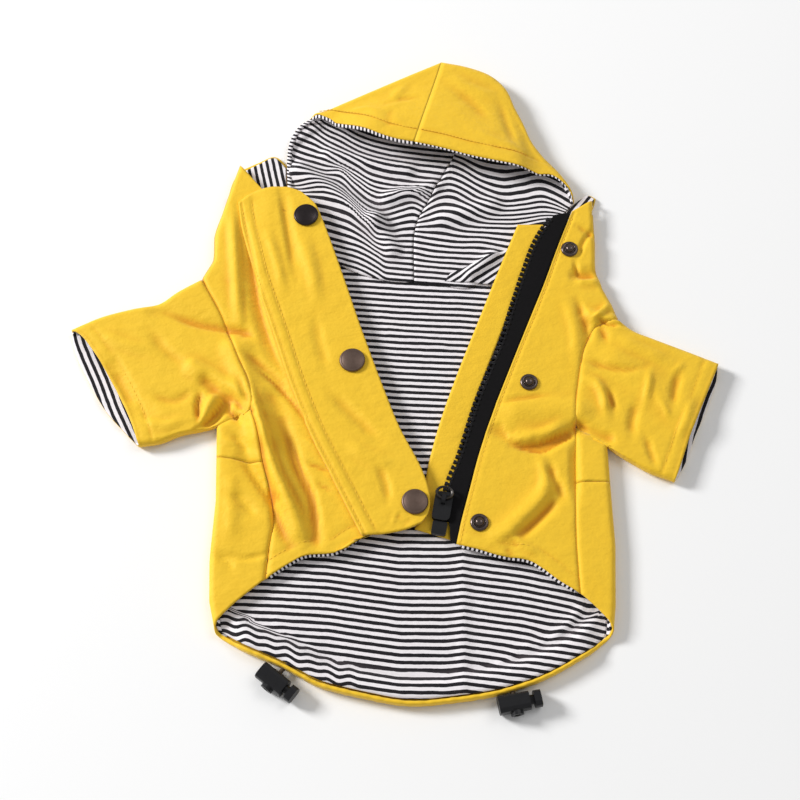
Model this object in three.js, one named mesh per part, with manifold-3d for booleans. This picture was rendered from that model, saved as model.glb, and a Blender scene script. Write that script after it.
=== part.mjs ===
// Dog raincoat, lying open on its back: belly side up, hem towards -Y, hood towards +Y.
// Millimetres. The origin is on the surface it lies on, under the middle of its outline.
import * as THREE from 'three';
import { mergeVertices } from 'three/addons/utils/BufferGeometryUtils.js';
import Module from 'manifold-3d';

const wasm = await Module();
wasm.setup();

// Cloth: wall thicknesses, the gap kept at seams and the heights of the layers
const SHELL = 1.0;
const LINING = 0.9;
const FRONT = 1.2;
const FLAP = 1.5;
const TAPE = 0.9;
const GAP = 0.3;
const LOFT = 6.6;
const LINING_FLOOR = SHELL + GAP;
const LINING_TOP = LINING_FLOOR + LINING;
const TAPE_FLOOR = 5.2;
const LEFT_TAPE_FLOOR = 4.2;

// Folded sides: plan radius of the turn and the cloth's length round it
const EDGE_RADIUS = 3.4;
const EDGE_TURN = Math.PI * (EDGE_RADIUS + LOFT / 2) / 2;

// Hem casing that holds the draw cord
const CASING_WIDTH = 15;
const CASING_LIFT = 3.2;
const HEM_WIDTH = 2.4;
const EYELET_RADIUS = 1.6;
const EYELET_REACH = 7.5;

// Hood: height of the folded crown, and of the brim above it
const CROWN_HEIGHT = 9;
const BRIM_HEIGHT = 15;
const CROWN_RADIUS = CROWN_HEIGHT / 2;

// Snaps, zip slider and its pull ring
const CAP_RADIUS = 6.7;
const CAP_HEIGHT = 2.4;
const STUD_RADIUS = 4.6;
const SLIDER = { x: 21.2, y: -61, turn: -10, length: 15, width: 9 };
const PLATE = 1.1;
const SLOT_FLOOR = 4.9;
const SLOT_TOP = 6.5;
const PULL = { radius: 3.6, wire: 0.75, stretch: 1.1, reach: 3.2 };

// Cord locks: where each lies, the way it points, and its parts
const LOCK = { tail: -9, mouth: 6, width: 8.6, height: 8, corner: 2.4, head: 3.4, gap: 2.2, travel: 1.9 };
const STEM = { radius: 2.3, end: -4.5, clearance: 0.45 };
const CORD_RADIUS = 1.1;
const CORD_HOLE = { x: -1, radius: 1.6 };
const BOSS = { radius: 3.1, height: 1.6 };
const CORD_END_INSET = 0.4;
const CASING_CORD_Z = 2.6;
const LOCKS = [
  {
    side: 'left', x: -59.3, y: -148.2, turn: -38,
    inside: [[-1, 8.1], [-0.4, 10.5], [2.2, 12.1], [5.8, 13.4], [10, 14.5], [15, 15.7]],
  },
  {
    side: 'right', x: 55.4, y: -158.4, turn: 11,
    inside: [[-1, 8.2], [-1.9, 10.4], [-4.2, 11.6], [-8, 11.7], [-13, 11.3], [-18, 10.7]],
  },
];

// Middle of the coat's outline, which is moved over the origin at the end
const OUTLINE_MIDDLE = { x: -3.55, y: 22.8 };

// Outline of the body: the folded left and right sides, by height along the coat
const LEFT_SIDE = [
  { y: -126, x: -89 }, { y: -109, x: -93 }, { y: -88, x: -94 }, { y: -57, x: -92.5 }, { y: -17, x: -94 },
  { y: 25, x: -101 }, { y: 69, x: -106.5 }, { y: 80, x: -101 }, { y: 96, x: -101 }, { y: 110, x: -97.5 },
  { y: 128, x: -93 }, { y: 144, x: -88.5 },
];
const RIGHT_SIDE = [
  { y: -126, x: 103 }, { y: -111, x: 105 }, { y: -81, x: 106.7 }, { y: -46, x: 106 }, { y: -28, x: 105.8 },
  { y: 8, x: 111 }, { y: 44, x: 115.8 }, { y: 53, x: 113 }, { y: 63, x: 108.5 }, { y: 75, x: 105.3 },
  { y: 93, x: 106 }, { y: 120, x: 106 },
];

// Seams and edges in plan, each from its first to its last point
const NECK_LEFT = [[-94, 121], [-78, 115], [-59, 106]];
const NECK_MIDDLE_LEFT = [[-59, 106], [-49, 98], [-30, 80], [-8, 72], [7.5, 70.5]];
const NECK_MIDDLE_RIGHT = [[7.5, 70.5], [21.5, 69], [37.5, 67.5], [54, 80], [66, 93], [84, 105]];
const NECK_RIGHT = [[84, 105], [94, 109], [104, 111]];
const BACK_HEM = [
  [-86.5, -127], [-76.1, -133.1], [-64, -138.3], [-55.8, -142], [-47.7, -146.3], [-39.6, -150.5],
  [-31.7, -152.9], [-15.8, -156.6], [0, -159.5], [11, -159.8], [22, -158.7], [34.7, -157.1], [46.6, -154.9],
  [55.5, -152.3], [65, -149.1], [74.8, -144.6], [84.7, -139], [92.1, -134.6], [99, -129],
];
const FRONT_HEM_LEFT = [
  [-66, -98.4], [-53.7, -90], [-46.5, -86.4], [-31.8, -84.7], [-24, -79.5], [-18.7, -76.5],
];
const FRONT_HEM_RIGHT = [
  [28, -80.5], [39, -83.3], [49, -86.4], [63.5, -89], [70, -93], [77.7, -99], [88, -105.6],
];
const SIDE_SEAM_LEFT = [
  [-66, -98.4], [-64.7, -82], [-63.2, -69], [-65.5, -52], [-69.4, -38], [-73, -20], [-76.8, -8.5],
];
const SIDE_SEAM_RIGHT = [[88, -105.6], [87.4, -80], [88, -59], [88.6, -48], [89, -37.5], [90.4, -16]];
const ARMHOLE_LEFT = [
  [-76.8, -8.5], [-76.3, -1], [-79, 9.7], [-83, 18.3], [-88.9, 32.8], [-94.9, 47.5], [-106.5, 69],
];
const ARMHOLE_RIGHT = [
  [90.4, -16], [90.6, -4.5], [92.3, 6.8], [94.4, 18.3], [97.6, 29.8], [104, 40], [115.8, 44],
];
const UNDERARM_LEFT = [[-76.8, -8.5], [-82.5, -12.8], [-94, -17]];
const UNDERARM_RIGHT = [[90.4, -16], [95.5, -22], [105.8, -28]];
const BACK_ARMHOLE_LEFT = [[-94, -17], [-89, 2], [-88, 25], [-94, 48], [-106.5, 69]];
const BACK_ARMHOLE_RIGHT = [[105.8, -28], [99.5, -12], [98, 8], [103, 28], [115.8, 44]];
const FLAP_SEAM = [
  [-18.7, -76.5], [-27.3, -59.2], [-35.1, -43.3], [-45.6, -21.5], [-56.6, 6.4], [-65.2, 29.3], [-72.9, 52.9],
  [-80, 77], [-82.5, 98], [-80.3, 120],
];
const FLAP_EDGE = [
  [10.6, -70], [14, -65], [15, -57], [13.5, -49], [10, -39.4], [0, -19.2], [-8.2, 2.5], [-20.9, 39.4],
  [-29.2, 65.6], [-42.3, 104.4], [-46.5, 114], [-54.7, 122],
];
const ZIP_EDGE = [
  [28, -80.5], [30.7, -68.3], [34.9, -52.5], [40.4, -32.1], [49.7, -4.5], [55.8, 11.4], [62.6, 28.7],
  [70.1, 47.5], [77.2, 65.4], [85, 86.9], [94, 110],
];
const TEETH_EDGE = [
  [24.8, -78], [24.4, -69.5], [22.6, -66.2], [21.7, -62], [25, -47.9], [30.3, -34.4], [40, -4], [46.6, 13],
  [53.9, 31.5], [60.9, 54], [66.8, 72.1], [74, 91.5], [84, 108],
];
const GUARD_EDGE = [
  [7.4, -72], [12, -52.5], [14.1, -39], [20.5, -14.3], [31.2, 16.8], [42.3, 46.1], [53.7, 76.2], [64.3, 103],
];
const SLEEVE_LEFT = {
  top: [[-106.5, 69], [-118.6, 61.5], [-127.7, 54.6], [-143.4, 50.7], [-158.9, 45.9], [-173.6, 38.6]],
  under: [[-94, -17], [-102.3, -19.3], [-112.4, -21.8], [-122.3, -26], [-133, -27.6]],
  cuff: [
    [-173.6, 38.6], [-167.5, 34.5], [-162.1, 27.9], [-156.1, 19.2], [-147.2, 4.9], [-142.5, -4],
    [-137.5, -15], [-133, -27.6],
  ],
  lowerCuff: [
    [-173.6, 38.6], [-172.2, 30.9], [-169, 22.1], [-162.8, 10.5], [-152.5, -6.5], [-145.1, -15],
    [-133, -27.6],
  ],
};
const SLEEVE_RIGHT = {
  top: [[115.8, 44], [124, 37.5], [131.6, 34.1], [152, 25.3], [166.5, 18.9]],
  under: [[105.8, -28], [111.7, -32.8], [119, -37.7], [126.2, -42], [138.5, -46.8]],
  cuff: [[166.5, 18.9], [162.1, 9.1], [154.4, -7.9], [148.1, -21.8], [142.9, -35.5], [138.5, -46.8]],
  lowerCuff: [[166.5, 18.9], [164.5, 8.6], [157.2, -8.6], [150.8, -22.4], [144.9, -36.5], [138.5, -46.8]],
};
const HOOD_SEAM = [
  [7.5, 70.5], [7.6, 96.6], [9.9, 107.3], [16.5, 120.8], [24.5, 137], [30.8, 151.5], [31, 175], [24, 210],
];
const HOOD_SIDE_LEFT = [[-59, 106], [-61, 128], [-62, 144], [-61, 157]];
const HOOD_SIDE_RIGHT = [[84, 105], [90.5, 111.5], [96, 118]];

// Crown fold of the hood and the brim above it, in pairs from each side to the centre seam
const CROWN_LEFT = [
  { x: -61, y: 157, brimX: -61, brimY: 157 },
  { x: -56, y: 169, brimX: -56, brimY: 168 },
  { x: -50, y: 174, brimX: -48.5, brimY: 171 },
  { x: -42, y: 176.5, brimX: -40, brimY: 167 },
  { x: -31, y: 182, brimX: -33, brimY: 164.5 },
  { x: -16.5, y: 189.5, brimX: -23, brimY: 161 },
  { x: 5, y: 200.5, brimX: -9, brimY: 154.5 },
  { x: 16, y: 206, brimX: 0, brimY: 151.5 },
  { x: 24, y: 210, brimX: 8, brimY: 150 },
];
const CROWN_RIGHT = [
  { x: 24, y: 210, brimX: 8, brimY: 150 },
  { x: 39, y: 206.5, brimX: 22, brimY: 146.5 },
  { x: 52, y: 200.5, brimX: 38, brimY: 141.5 },
  { x: 60.5, y: 191, brimX: 50, brimY: 138.5 },
  { x: 65, y: 178.5, brimX: 59, brimY: 136.5 },
  { x: 69.5, y: 167.5, brimX: 65.5, brimY: 135 },
  { x: 73.5, y: 156, brimX: 70.5, brimY: 134 },
  { x: 79.5, y: 146, brimX: 76, brimY: 132 },
  { x: 88, y: 135.5, brimX: 85.5, brimY: 127.5 },
  { x: 94, y: 125.5, brimX: 91.5, brimY: 120.5 },
  { x: 96, y: 118, brimX: 94.5, brimY: 115 },
];

// Largest folds of the front layer: a ridge or trough between two plan points
const FRONT_FOLDS = [
  { x1: -86, y1: 26, x2: -70, y2: -22, width: 11, height: 2.6 },
  { x1: -70, y1: -20, x2: -50, y2: -72, width: 10, height: 2.8 },
  { x1: -64, y1: -2, x2: -43, y2: -76, width: 9, height: -1.8 },
  { x1: -80, y1: -34, x2: -64, y2: -56, width: 6, height: -1.6 },
  { x1: -100, y1: 8, x2: -78, y2: -12, width: 6, height: -2.6 },
  { x1: -108, y1: 16, x2: -84, y2: 2, width: 7, height: 2.4 },
  { x1: -128, y1: 50, x2: -84, y2: 36, width: 9, height: -1.4 },
  { x1: -150, y1: 14, x2: -132, y2: -10, width: 10, height: -1.2 },
  { x1: 50, y1: -20, x2: 72, y2: -29, width: 7, height: -1.8 },
  { x1: 70, y1: -27, x2: 92, y2: -18, width: 6, height: -2.0 },
  { x1: 60, y1: -8, x2: 92, y2: -8, width: 9, height: 2.4 },
  { x1: 49, y1: -76, x2: 73, y2: -50, width: 7, height: 1.6 },
  { x1: 92, y1: -18, x2: 106, y2: -24, width: 5, height: -2.2 },
  { x1: 94, y1: 70, x2: 106, y2: 73, width: 5, height: -1.6 },
  { x1: 100, y1: 46, x2: 114, y2: 42, width: 6, height: 1.8 },
  { x1: 112, y1: 20, x2: 150, y2: -14, width: 12, height: 1.4 },
];

// Soft folds of the lining inside the hood
const HOOD_FOLDS = [
  { x1: -56, y1: 138, x2: -14, y2: 106, width: 9, height: 4.2 },
  { x1: -14, y1: 106, x2: -4, y2: 88, width: 7, height: 3 },
  { x1: -6, y1: 121, x2: 18, y2: 128, width: 7, height: 3 },
  { x1: -40, y1: 149, x2: 4, y2: 139, width: 7, height: 2.2 },
  { x1: 38, y1: 72, x2: 50, y2: 84, width: 6, height: 3 },
  { x1: 24, y1: 108, x2: 50, y2: 116, width: 9, height: 2 },
];

const CAPS = [[-51.1, 106.2], [-24.8, 18.6], [7.4, -59.4]];
const STUDS = [[91.5, 86], [66.8, 7], [39.4, -69.6]];

// Materials
function finish(color, roughness, metalness = 0) {
  return new THREE.MeshStandardMaterial({ color, roughness, metalness });
}

const YELLOW = finish('#f3c62b', 0.62);
const STRIPED = finish('#d8d4d6', 0.85);
const BLACK_TAPE = finish('#15151a', 0.8);
const BLACK_PLASTIC = finish('#1a1b1e', 0.45);
const GUNMETAL = finish('#55504b', 0.35, 0.9);
const CORD = finish('#1c1a19', 0.8);

// Curves and blends
function smoothStep(low, high, value) {
  const t = THREE.MathUtils.clamp((value - low) / (high - low), 0, 1);
  return t * t * (3 - 2 * t);
}

function curve(points) {
  const corners = points.map(([x, y]) => new THREE.Vector3(x, y, 0));
  const spline = new THREE.CatmullRomCurve3(corners, false, 'centripetal');
  spline.arcLengthDivisions = 120;
  return (t) => {
    const point = spline.getPointAt(THREE.MathUtils.clamp(t, 0, 1));
    return new THREE.Vector2(point.x, point.y);
  };
}

function joined(...lines) {
  return (t) => {
    const step = Math.min(Math.floor(t * lines.length), lines.length - 1);
    return lines[step](t * lines.length - step);
  };
}

// The same line as straight runs between evenly spaced points of it
function faceted(line, count) {
  const points = Array.from({ length: count + 1 }, (_, i) => line(i / count));
  return (t) => {
    const index = Math.min(Math.floor(t * count + 1e-9), count - 1);
    return points[index].clone().lerp(points[index + 1], t * count - index);
  };
}

function straight(from, to) {
  return (t) => from.clone().lerp(to, t);
}

function shifted(line, x, y) {
  return (t) => line(t).add(new THREE.Vector2(x, y));
}

function rows(table, keyX, keyY) {
  const spline = new THREE.CatmullRomCurve3(table.map((row) => new THREE.Vector3(row[keyX], row[keyY], 0)));
  return (t) => {
    const point = spline.getPoint(THREE.MathUtils.clamp(t, 0, 1));
    return new THREE.Vector2(point.x, point.y);
  };
}

function sideAt(table, y) {
  const last = table.length - 2;
  let row = 0;
  while (row < last && y > table[row + 1].y) row += 1;
  const from = table[row];
  const to = table[row + 1];
  const t = THREE.MathUtils.clamp((y - from.y) / (to.y - from.y), 0, 1);
  return THREE.MathUtils.lerp(from.x, to.x, t);
}

// Four edges to a plan point: near and far run with a, start and end run with b
function patch({ near, far, start, end }) {
  return (a, b) => {
    const point = near(a).multiplyScalar(1 - b).add(far(a).multiplyScalar(b));
    point.add(start(b).multiplyScalar(1 - a)).add(end(b).multiplyScalar(a));
    point.sub(near(0).multiplyScalar((1 - a) * (1 - b))).sub(near(1).multiplyScalar(a * (1 - b)));
    return point.sub(far(0).multiplyScalar((1 - a) * b)).sub(far(1).multiplyScalar(a * b));
  };
}

// Heights
function relief(folds, x, y) {
  let height = 0;
  for (const fold of folds) {
    const along = new THREE.Vector2(fold.x2 - fold.x1, fold.y2 - fold.y1);
    const offset = new THREE.Vector2(x - fold.x1, y - fold.y1);
    const t = THREE.MathUtils.clamp(offset.dot(along) / along.lengthSq(), 0, 1);
    const distance = offset.sub(along.multiplyScalar(t)).length();
    height += fold.height * (1 - smoothStep(0, fold.width, distance));
  }
  return height;
}

function frontTop(x, y) {
  return Math.max(LOFT + relief(FRONT_FOLDS, x, y), LINING_TOP + GAP + FRONT);
}

// Rise of the folded edge at a plan distance from it, from 0 at the edge to 1
function turn(distance, inset) {
  const t = THREE.MathUtils.clamp((distance - inset) / (EDGE_RADIUS - inset), 0, 1);
  return Math.sqrt(1 - (1 - t) * (1 - t));
}

function frontFace(inset, point) {
  const { x, y } = point;
  const half = frontTop(x, y) / 2;
  const distance = Math.min(x - sideAt(LEFT_SIDE, y), sideAt(RIGHT_SIDE, y) - x);
  const shoulder = y > 40 ? Math.max(turn(distance, inset), 0.08) : 1;
  return new THREE.Vector3(x, y, half + (half - inset) * shoulder);
}

const hemLine = curve(BACK_HEM);
const hemPoints = Array.from({ length: 61 }, (_, index) => hemLine(index / 60));

function casingLift(x, y) {
  const distance = Math.min(...hemPoints.map((point) => Math.hypot(point.x - x, point.y - y)));
  const sides = Math.min(x - sideAt(LEFT_SIDE, y), sideAt(RIGHT_SIDE, y) - x);
  const onCasing = 1 - smoothStep(CASING_WIDTH * 0.6, CASING_WIDTH, distance);
  return CASING_LIFT * onCasing * smoothStep(4, 16, sides);
}

// Closed solids: a wall between two faces that share one grid, and a ring of them
function solid(name, material, positions, triangles) {
  const geometry = new THREE.BufferGeometry();
  const numbers = positions.flatMap((p) => [p.x, p.y, p.z]);
  geometry.setAttribute('position', new THREE.Float32BufferAttribute(numbers, 3));
  geometry.setIndex(triangles);
  let volume = 0;
  for (let i = 0; i < triangles.length; i += 3) {
    const [a, b, c] = [0, 1, 2].map((k) => positions[triangles[i + k]]);
    volume += a.dot(new THREE.Vector3().crossVectors(b, c));
  }
  if (volume < 0) {
    for (let i = 0; i < triangles.length; i += 3) {
      [triangles[i], triangles[i + 1]] = [triangles[i + 1], triangles[i]];
    }
    geometry.setIndex(triangles);
  }
  geometry.computeVertexNormals();
  const mesh = new THREE.Mesh(geometry, material);
  mesh.name = name;
  return mesh;
}

function wall(name, material, across, along, outer, inner) {
  const positions = [];
  for (const face of [outer, inner]) {
    for (let j = 0; j <= along; j += 1) {
      for (let i = 0; i <= across; i += 1) positions.push(face(i / across, j / along));
    }
  }
  const layer = (across + 1) * (along + 1);
  const at = (i, j, side) => side * layer + j * (across + 1) + i;
  const triangles = [];
  const quad = (a, b, c, d) => triangles.push(a, b, c, a, c, d);
  for (let j = 0; j < along; j += 1) {
    for (let i = 0; i < across; i += 1) {
      quad(at(i, j, 0), at(i + 1, j, 0), at(i + 1, j + 1, 0), at(i, j + 1, 0));
      quad(at(i, j, 1), at(i, j + 1, 1), at(i + 1, j + 1, 1), at(i + 1, j, 1));
    }
  }
  for (let i = 0; i < across; i += 1) {
    quad(at(i, 0, 0), at(i, 0, 1), at(i + 1, 0, 1), at(i + 1, 0, 0));
    quad(at(i, along, 0), at(i + 1, along, 0), at(i + 1, along, 1), at(i, along, 1));
  }
  for (let j = 0; j < along; j += 1) {
    quad(at(0, j, 0), at(0, j + 1, 0), at(0, j + 1, 1), at(0, j, 1));
    quad(at(across, j, 0), at(across, j, 1), at(across, j + 1, 1), at(across, j + 1, 0));
  }
  return solid(name, material, positions, triangles);
}

function sheet(name, material, across, along, plan, outer, inner) {
  return wall(name, material, across, along, (a, b) => outer(plan(a, b)), (a, b) => inner(plan(a, b)));
}

const level = (height) => (point) => new THREE.Vector3(point.x, point.y, height);

// Manifold solids for cutting and joining
function toManifold(mesh) {
  const geometry = mesh.geometry.clone();
  for (const attribute of ['normal', 'uv']) geometry.deleteAttribute(attribute);
  const merged = mergeVertices(geometry, 1e-4);
  return new wasm.Manifold(new wasm.Mesh({
    numProp: 3,
    vertProperties: new Float32Array(merged.attributes.position.array),
    triVerts: new Uint32Array(merged.index.array),
  }));
}

function fromManifold(name, material, result) {
  const { vertProperties, triVerts } = result.getMesh();
  const geometry = new THREE.BufferGeometry();
  geometry.setAttribute('position', new THREE.Float32BufferAttribute(vertProperties, 3));
  geometry.setIndex(new THREE.BufferAttribute(triVerts, 1));
  geometry.computeVertexNormals();
  const mesh = new THREE.Mesh(geometry, material);
  mesh.name = name;
  return mesh;
}

function union(name, material, pieces) {
  return fromManifold(name, material, pieces.map(toManifold).reduce((all, piece) => all.add(piece)));
}

// Cloth wrapped round a folded side: it starts inside the floor cloth, turns up over the fold,
// and runs inwards on top as far as the seam. Each row climbs from its floor y to its seam y.
const WRAP_LAP = 2;
const TURN_STEPS = 6;

function wrap({ table, inward, floor, seam, turned = 1, along, topSteps = 0, outer, inner }) {
  const columns = 1 + TURN_STEPS + topSteps;
  const turnLength = EDGE_TURN * turned;
  const face = (inset) => (a, b) => {
    const index = Math.round(a * columns);
    const end = seam(b);
    const startY = THREE.MathUtils.lerp(floor[0], floor[1], b);
    const topLength = topSteps ? Math.abs(end.x - sideAt(table, end.y)) - EDGE_RADIUS : 0;
    const turnShare = THREE.MathUtils.clamp((index - 1) / TURN_STEPS, 0, 1);
    const topShare = topSteps ? Math.max(index - 1 - TURN_STEPS, 0) / topSteps : 0;
    const lap = index === 0 ? WRAP_LAP : 0;
    const travelled = turnLength * turnShare + topLength * topShare;
    const y = THREE.MathUtils.lerp(startY, end.y, travelled / (turnLength + topLength));
    const side = sideAt(table, y);
    const angle = Math.PI * (turned * turnShare - 0.5);
    const half = frontTop(side + inward * EDGE_RADIUS, y) / 2;
    if (topShare > 0) {
      const x = THREE.MathUtils.lerp(side + inward * EDGE_RADIUS, end.x, topShare);
      return new THREE.Vector3(x, y, frontTop(x, y) - inset);
    }
    const distance = inset + (EDGE_RADIUS - inset) * (1 - Math.cos(angle)) + lap;
    return new THREE.Vector3(side + inward * distance, y, half + (half - inset) * Math.sin(angle));
  };
  return wall('wrap', YELLOW, columns, along, face(outer), face(inner));
}

// Straight floor edge of the back cloth beside a folded side
function foldLine(table, inward, low, high) {
  return (t) => {
    const y = THREE.MathUtils.lerp(low, high, t);
    return new THREE.Vector2(sideAt(table, y) + inward * EDGE_RADIUS, y);
  };
}

const NECK_FACETS = 4;
const neckParts = [NECK_LEFT, NECK_MIDDLE_LEFT, NECK_MIDDLE_RIGHT, NECK_RIGHT]
  .map((part) => faceted(curve(part), NECK_FACETS));
const neckEdge = shifted(joined(...neckParts), 0, -GAP);
const seamLeft = curve(SIDE_SEAM_LEFT);
const seamRight = curve(SIDE_SEAM_RIGHT);
const CROSS_LEFT = { floorY: -33, seamY: -38 };
const CROSS_RIGHT = { floorY: -47.7, seamY: -48 };
const SHOULDER_LEFT = { low: 70.5, high: 117 };
const SHOULDER_RIGHT = { low: 47, high: 110 };
const LAP_INSET = 0.05;

function seamPart(line, low, high) {
  const shareAt = (y) => {
    let [from, to] = [0, 1];
    for (let i = 0; i < 24; i += 1) {
      const middle = (from + to) / 2;
      if (line(middle).y < y) from = middle;
      else to = middle;
    }
    return from;
  };
  const [start, end] = [shareAt(low), shareAt(high)];
  return (t) => line(THREE.MathUtils.lerp(start, end, t));
}

// Heights along the coat that a turned edge without a seam runs between
function climb(low, high) {
  return (t) => new THREE.Vector2(0, THREE.MathUtils.lerp(low, high, t));
}

const UNDER = { outer: LAP_INSET, inner: SHELL - LAP_INSET };

function backLower() {
  const near = shifted(curve(BACK_HEM), 0, HEM_WIDTH + GAP);
  const left = foldLine(LEFT_SIDE, 1, near(0).y, CROSS_LEFT.floorY);
  const right = foldLine(RIGHT_SIDE, -1, near(1).y, CROSS_RIGHT.floorY);
  const plan = patch({
    near, far: straight(left(1), right(1)),
    start: (t) => (t === 0 ? near(0) : left(t)), end: (t) => (t === 0 ? near(1) : right(t)),
  });
  const low = SIDE_SEAM_LEFT[0][1];
  const lowRight = SIDE_SEAM_RIGHT[0][1];
  return union('back_lower', YELLOW, [
    sheet('slab', YELLOW, 16, 6, plan, level(0), level(SHELL)),
    wrap({
      table: LEFT_SIDE, inward: 1, floor: [-126.5, CROSS_LEFT.floorY], along: 8, topSteps: 3,
      seam: shifted(seamPart(seamLeft, low, CROSS_LEFT.seamY), -2 * GAP, 0), ...UNDER,
    }),
    wrap({
      table: RIGHT_SIDE, inward: -1, floor: [-128.5, CROSS_RIGHT.floorY], along: 8, topSteps: 3,
      seam: shifted(seamPart(seamRight, lowRight, CROSS_RIGHT.seamY), 2 * GAP, 0), ...UNDER,
    }),
  ]);
}

function backUpper() {
  const left = joined(
    foldLine(LEFT_SIDE, 1, CROSS_LEFT.floorY + GAP, -17.5),
    curve([[-90.6, -17], [-87.6, 2], [-86.6, 25], [-92.6, 48], [-102.4, 67]]),
    foldLine(LEFT_SIDE, 1, SHOULDER_LEFT.low, SHOULDER_LEFT.high),
  );
  const right = joined(
    foldLine(RIGHT_SIDE, -1, CROSS_RIGHT.floorY + GAP, -28.5),
    curve([[102.4, -28], [98, -12], [96.5, 8], [101.4, 28], [111.4, 43]]),
    foldLine(RIGHT_SIDE, -1, SHOULDER_RIGHT.low, SHOULDER_RIGHT.high),
  );
  const far = (t) => (t === 0 ? left(1) : t === 1 ? right(1) : neckEdge(t));
  const plan = patch({ near: straight(left(0), right(0)), far, start: left, end: right });
  return union('back_upper', YELLOW, [
    sheet('slab', YELLOW, 16, 12, plan, level(0), level(SHELL)),
    wrap({
      table: LEFT_SIDE, inward: 1, floor: [CROSS_LEFT.floorY + GAP, -20], along: 3, topSteps: 3,
      seam: shifted(seamPart(seamLeft, CROSS_LEFT.seamY + GAP, -11.5), -2 * GAP, 0), ...UNDER,
    }),
    wrap({
      table: RIGHT_SIDE, inward: -1, floor: [CROSS_RIGHT.floorY + GAP, -31.5], along: 3, topSteps: 3,
      seam: shifted(seamPart(seamRight, CROSS_RIGHT.seamY + GAP, -20), 2 * GAP, 0), ...UNDER,
    }),
    wrap({
      table: LEFT_SIDE, inward: 1, floor: [SHOULDER_LEFT.low, SHOULDER_LEFT.high], along: 6, turned: 0.44,
      seam: climb(SHOULDER_LEFT.low, SHOULDER_LEFT.high), ...UNDER,
    }),
    wrap({
      table: RIGHT_SIDE, inward: -1, floor: [SHOULDER_RIGHT.low, SHOULDER_RIGHT.high], along: 6,
      turned: 0.44, seam: climb(SHOULDER_RIGHT.low, SHOULDER_RIGHT.high), ...UNDER,
    }),
  ]);
}

// The lining lies on the back and turns up inside the folded sides below the armholes
const LINED = { outer: LINING_FLOOR + LAP_INSET, inner: LINING_TOP - LAP_INSET };
const liningAt = (height) => (point) => {
  const lift = casingLift(point.x, point.y);
  return new THREE.Vector3(point.x, point.y, height + lift);
};

function backLining() {
  const near = shifted(curve(BACK_HEM), 0, HEM_WIDTH + 2 * GAP);
  const left = joined(
    foldLine(LEFT_SIDE, 1, near(0).y, -20),
    curve([[-89.5, -16], [-87.6, 2], [-86.6, 25], [-92.6, 48], [-101, 66]]),
    foldLine(LEFT_SIDE, 1.6, SHOULDER_LEFT.low, SHOULDER_LEFT.high),
  );
  const right = joined(
    foldLine(RIGHT_SIDE, -1, near(1).y, -31),
    curve([[101.4, -27], [98, -12], [96.5, 8], [101.4, 28], [110, 42.5]]),
    foldLine(RIGHT_SIDE, -1.6, SHOULDER_RIGHT.low, SHOULDER_RIGHT.high),
  );
  const far = (t) => (t === 0 ? left(1) : t === 1 ? right(1) : neckEdge(t));
  const start = (t) => (t === 0 ? near(0) : left(t));
  const end = (t) => (t === 0 ? near(1) : right(t));
  const plan = patch({ near, far, start, end });
  return union('back_lining', STRIPED, [
    sheet('slab', STRIPED, 16, 18, plan, liningAt(LINING_FLOOR), liningAt(LINING_TOP)),
    wrap({
      table: LEFT_SIDE, inward: 1, floor: [-124.5, -22], along: 9, turned: 0.8,
      seam: climb(-118, -20), ...LINED,
    }),
    wrap({
      table: RIGHT_SIDE, inward: -1, floor: [-126, -33], along: 9, turned: 0.8,
      seam: climb(-120, -31), ...LINED,
    }),
  ]);
}

// Fronts, with the shoulder edge turned down to the middle of the fold
function frontLeft() {
  const flapEdge = curve(FLAP_EDGE);
  const shoulder = curve([[-106.3, 69.3], [-101, 80], [-101, 96], [-97.5, 110], [-92.5, 128], [-89, 140.5]]);
  const plan = patch({
    near: curve(FRONT_HEM_LEFT.slice(0, 5).concat([[-8, -72]])),
    far: straight(shoulder(1), new THREE.Vector2(-66, 112)),
    start: joined(seamLeft, shifted(curve(ARMHOLE_LEFT), GAP, 0), shoulder),
    end: (t) => (t === 0 ? new THREE.Vector2(-8, -72) : t === 1 ? new THREE.Vector2(-66, 112)
      : shifted(flapEdge, -13, -2 - 6 * t)(t)),
  });
  return sheet('front_left', YELLOW, 9, 24, plan, (p) => frontFace(0, p), (p) => frontFace(FRONT, p));
}

function frontRight() {
  const shoulder = curve([
    [115.5, 44.5], [113, 53], [108.5, 63], [105.3, 75], [106, 93], [105, 108], [106.3, 118],
  ]);
  const zip = curve(ZIP_EDGE);
  const plan = patch({
    near: curve(FRONT_HEM_RIGHT),
    far: straight(zip(1), shoulder(1)),
    start: zip,
    end: joined(seamRight, shifted(curve(ARMHOLE_RIGHT), -GAP, 0), shoulder),
  });
  return sheet('front_right', YELLOW, 8, 24, plan, (p) => frontFace(0, p), (p) => frontFace(FRONT, p));
}

function snapFlap() {
  const plan = patch({
    near: curve([FLAP_SEAM[0], [-8, -75.8], [3, -73.4], FLAP_EDGE[0]]),
    far: curve([FLAP_SEAM.at(-1), [-73.9, 124.1], [-63, 124.8], FLAP_EDGE.at(-1)]),
    start: curve(FLAP_SEAM),
    end: curve(FLAP_EDGE),
  });
  const on = (height) => (p) => new THREE.Vector3(p.x, p.y, frontTop(p.x, p.y) + GAP + height);
  return sheet('snap_flap', YELLOW, 5, 22, plan, on(FLAP), on(0));
}

// Zip: guard, tapes, slider with its pull ring, and box
function strip(name, material, left, right, along, base, thickness) {
  const near = straight(left(0), right(0));
  const plan = patch({ near, far: straight(left(1), right(1)), start: left, end: right });
  return sheet(name, material, 2, along, plan, base(thickness), base(0));
}

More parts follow.
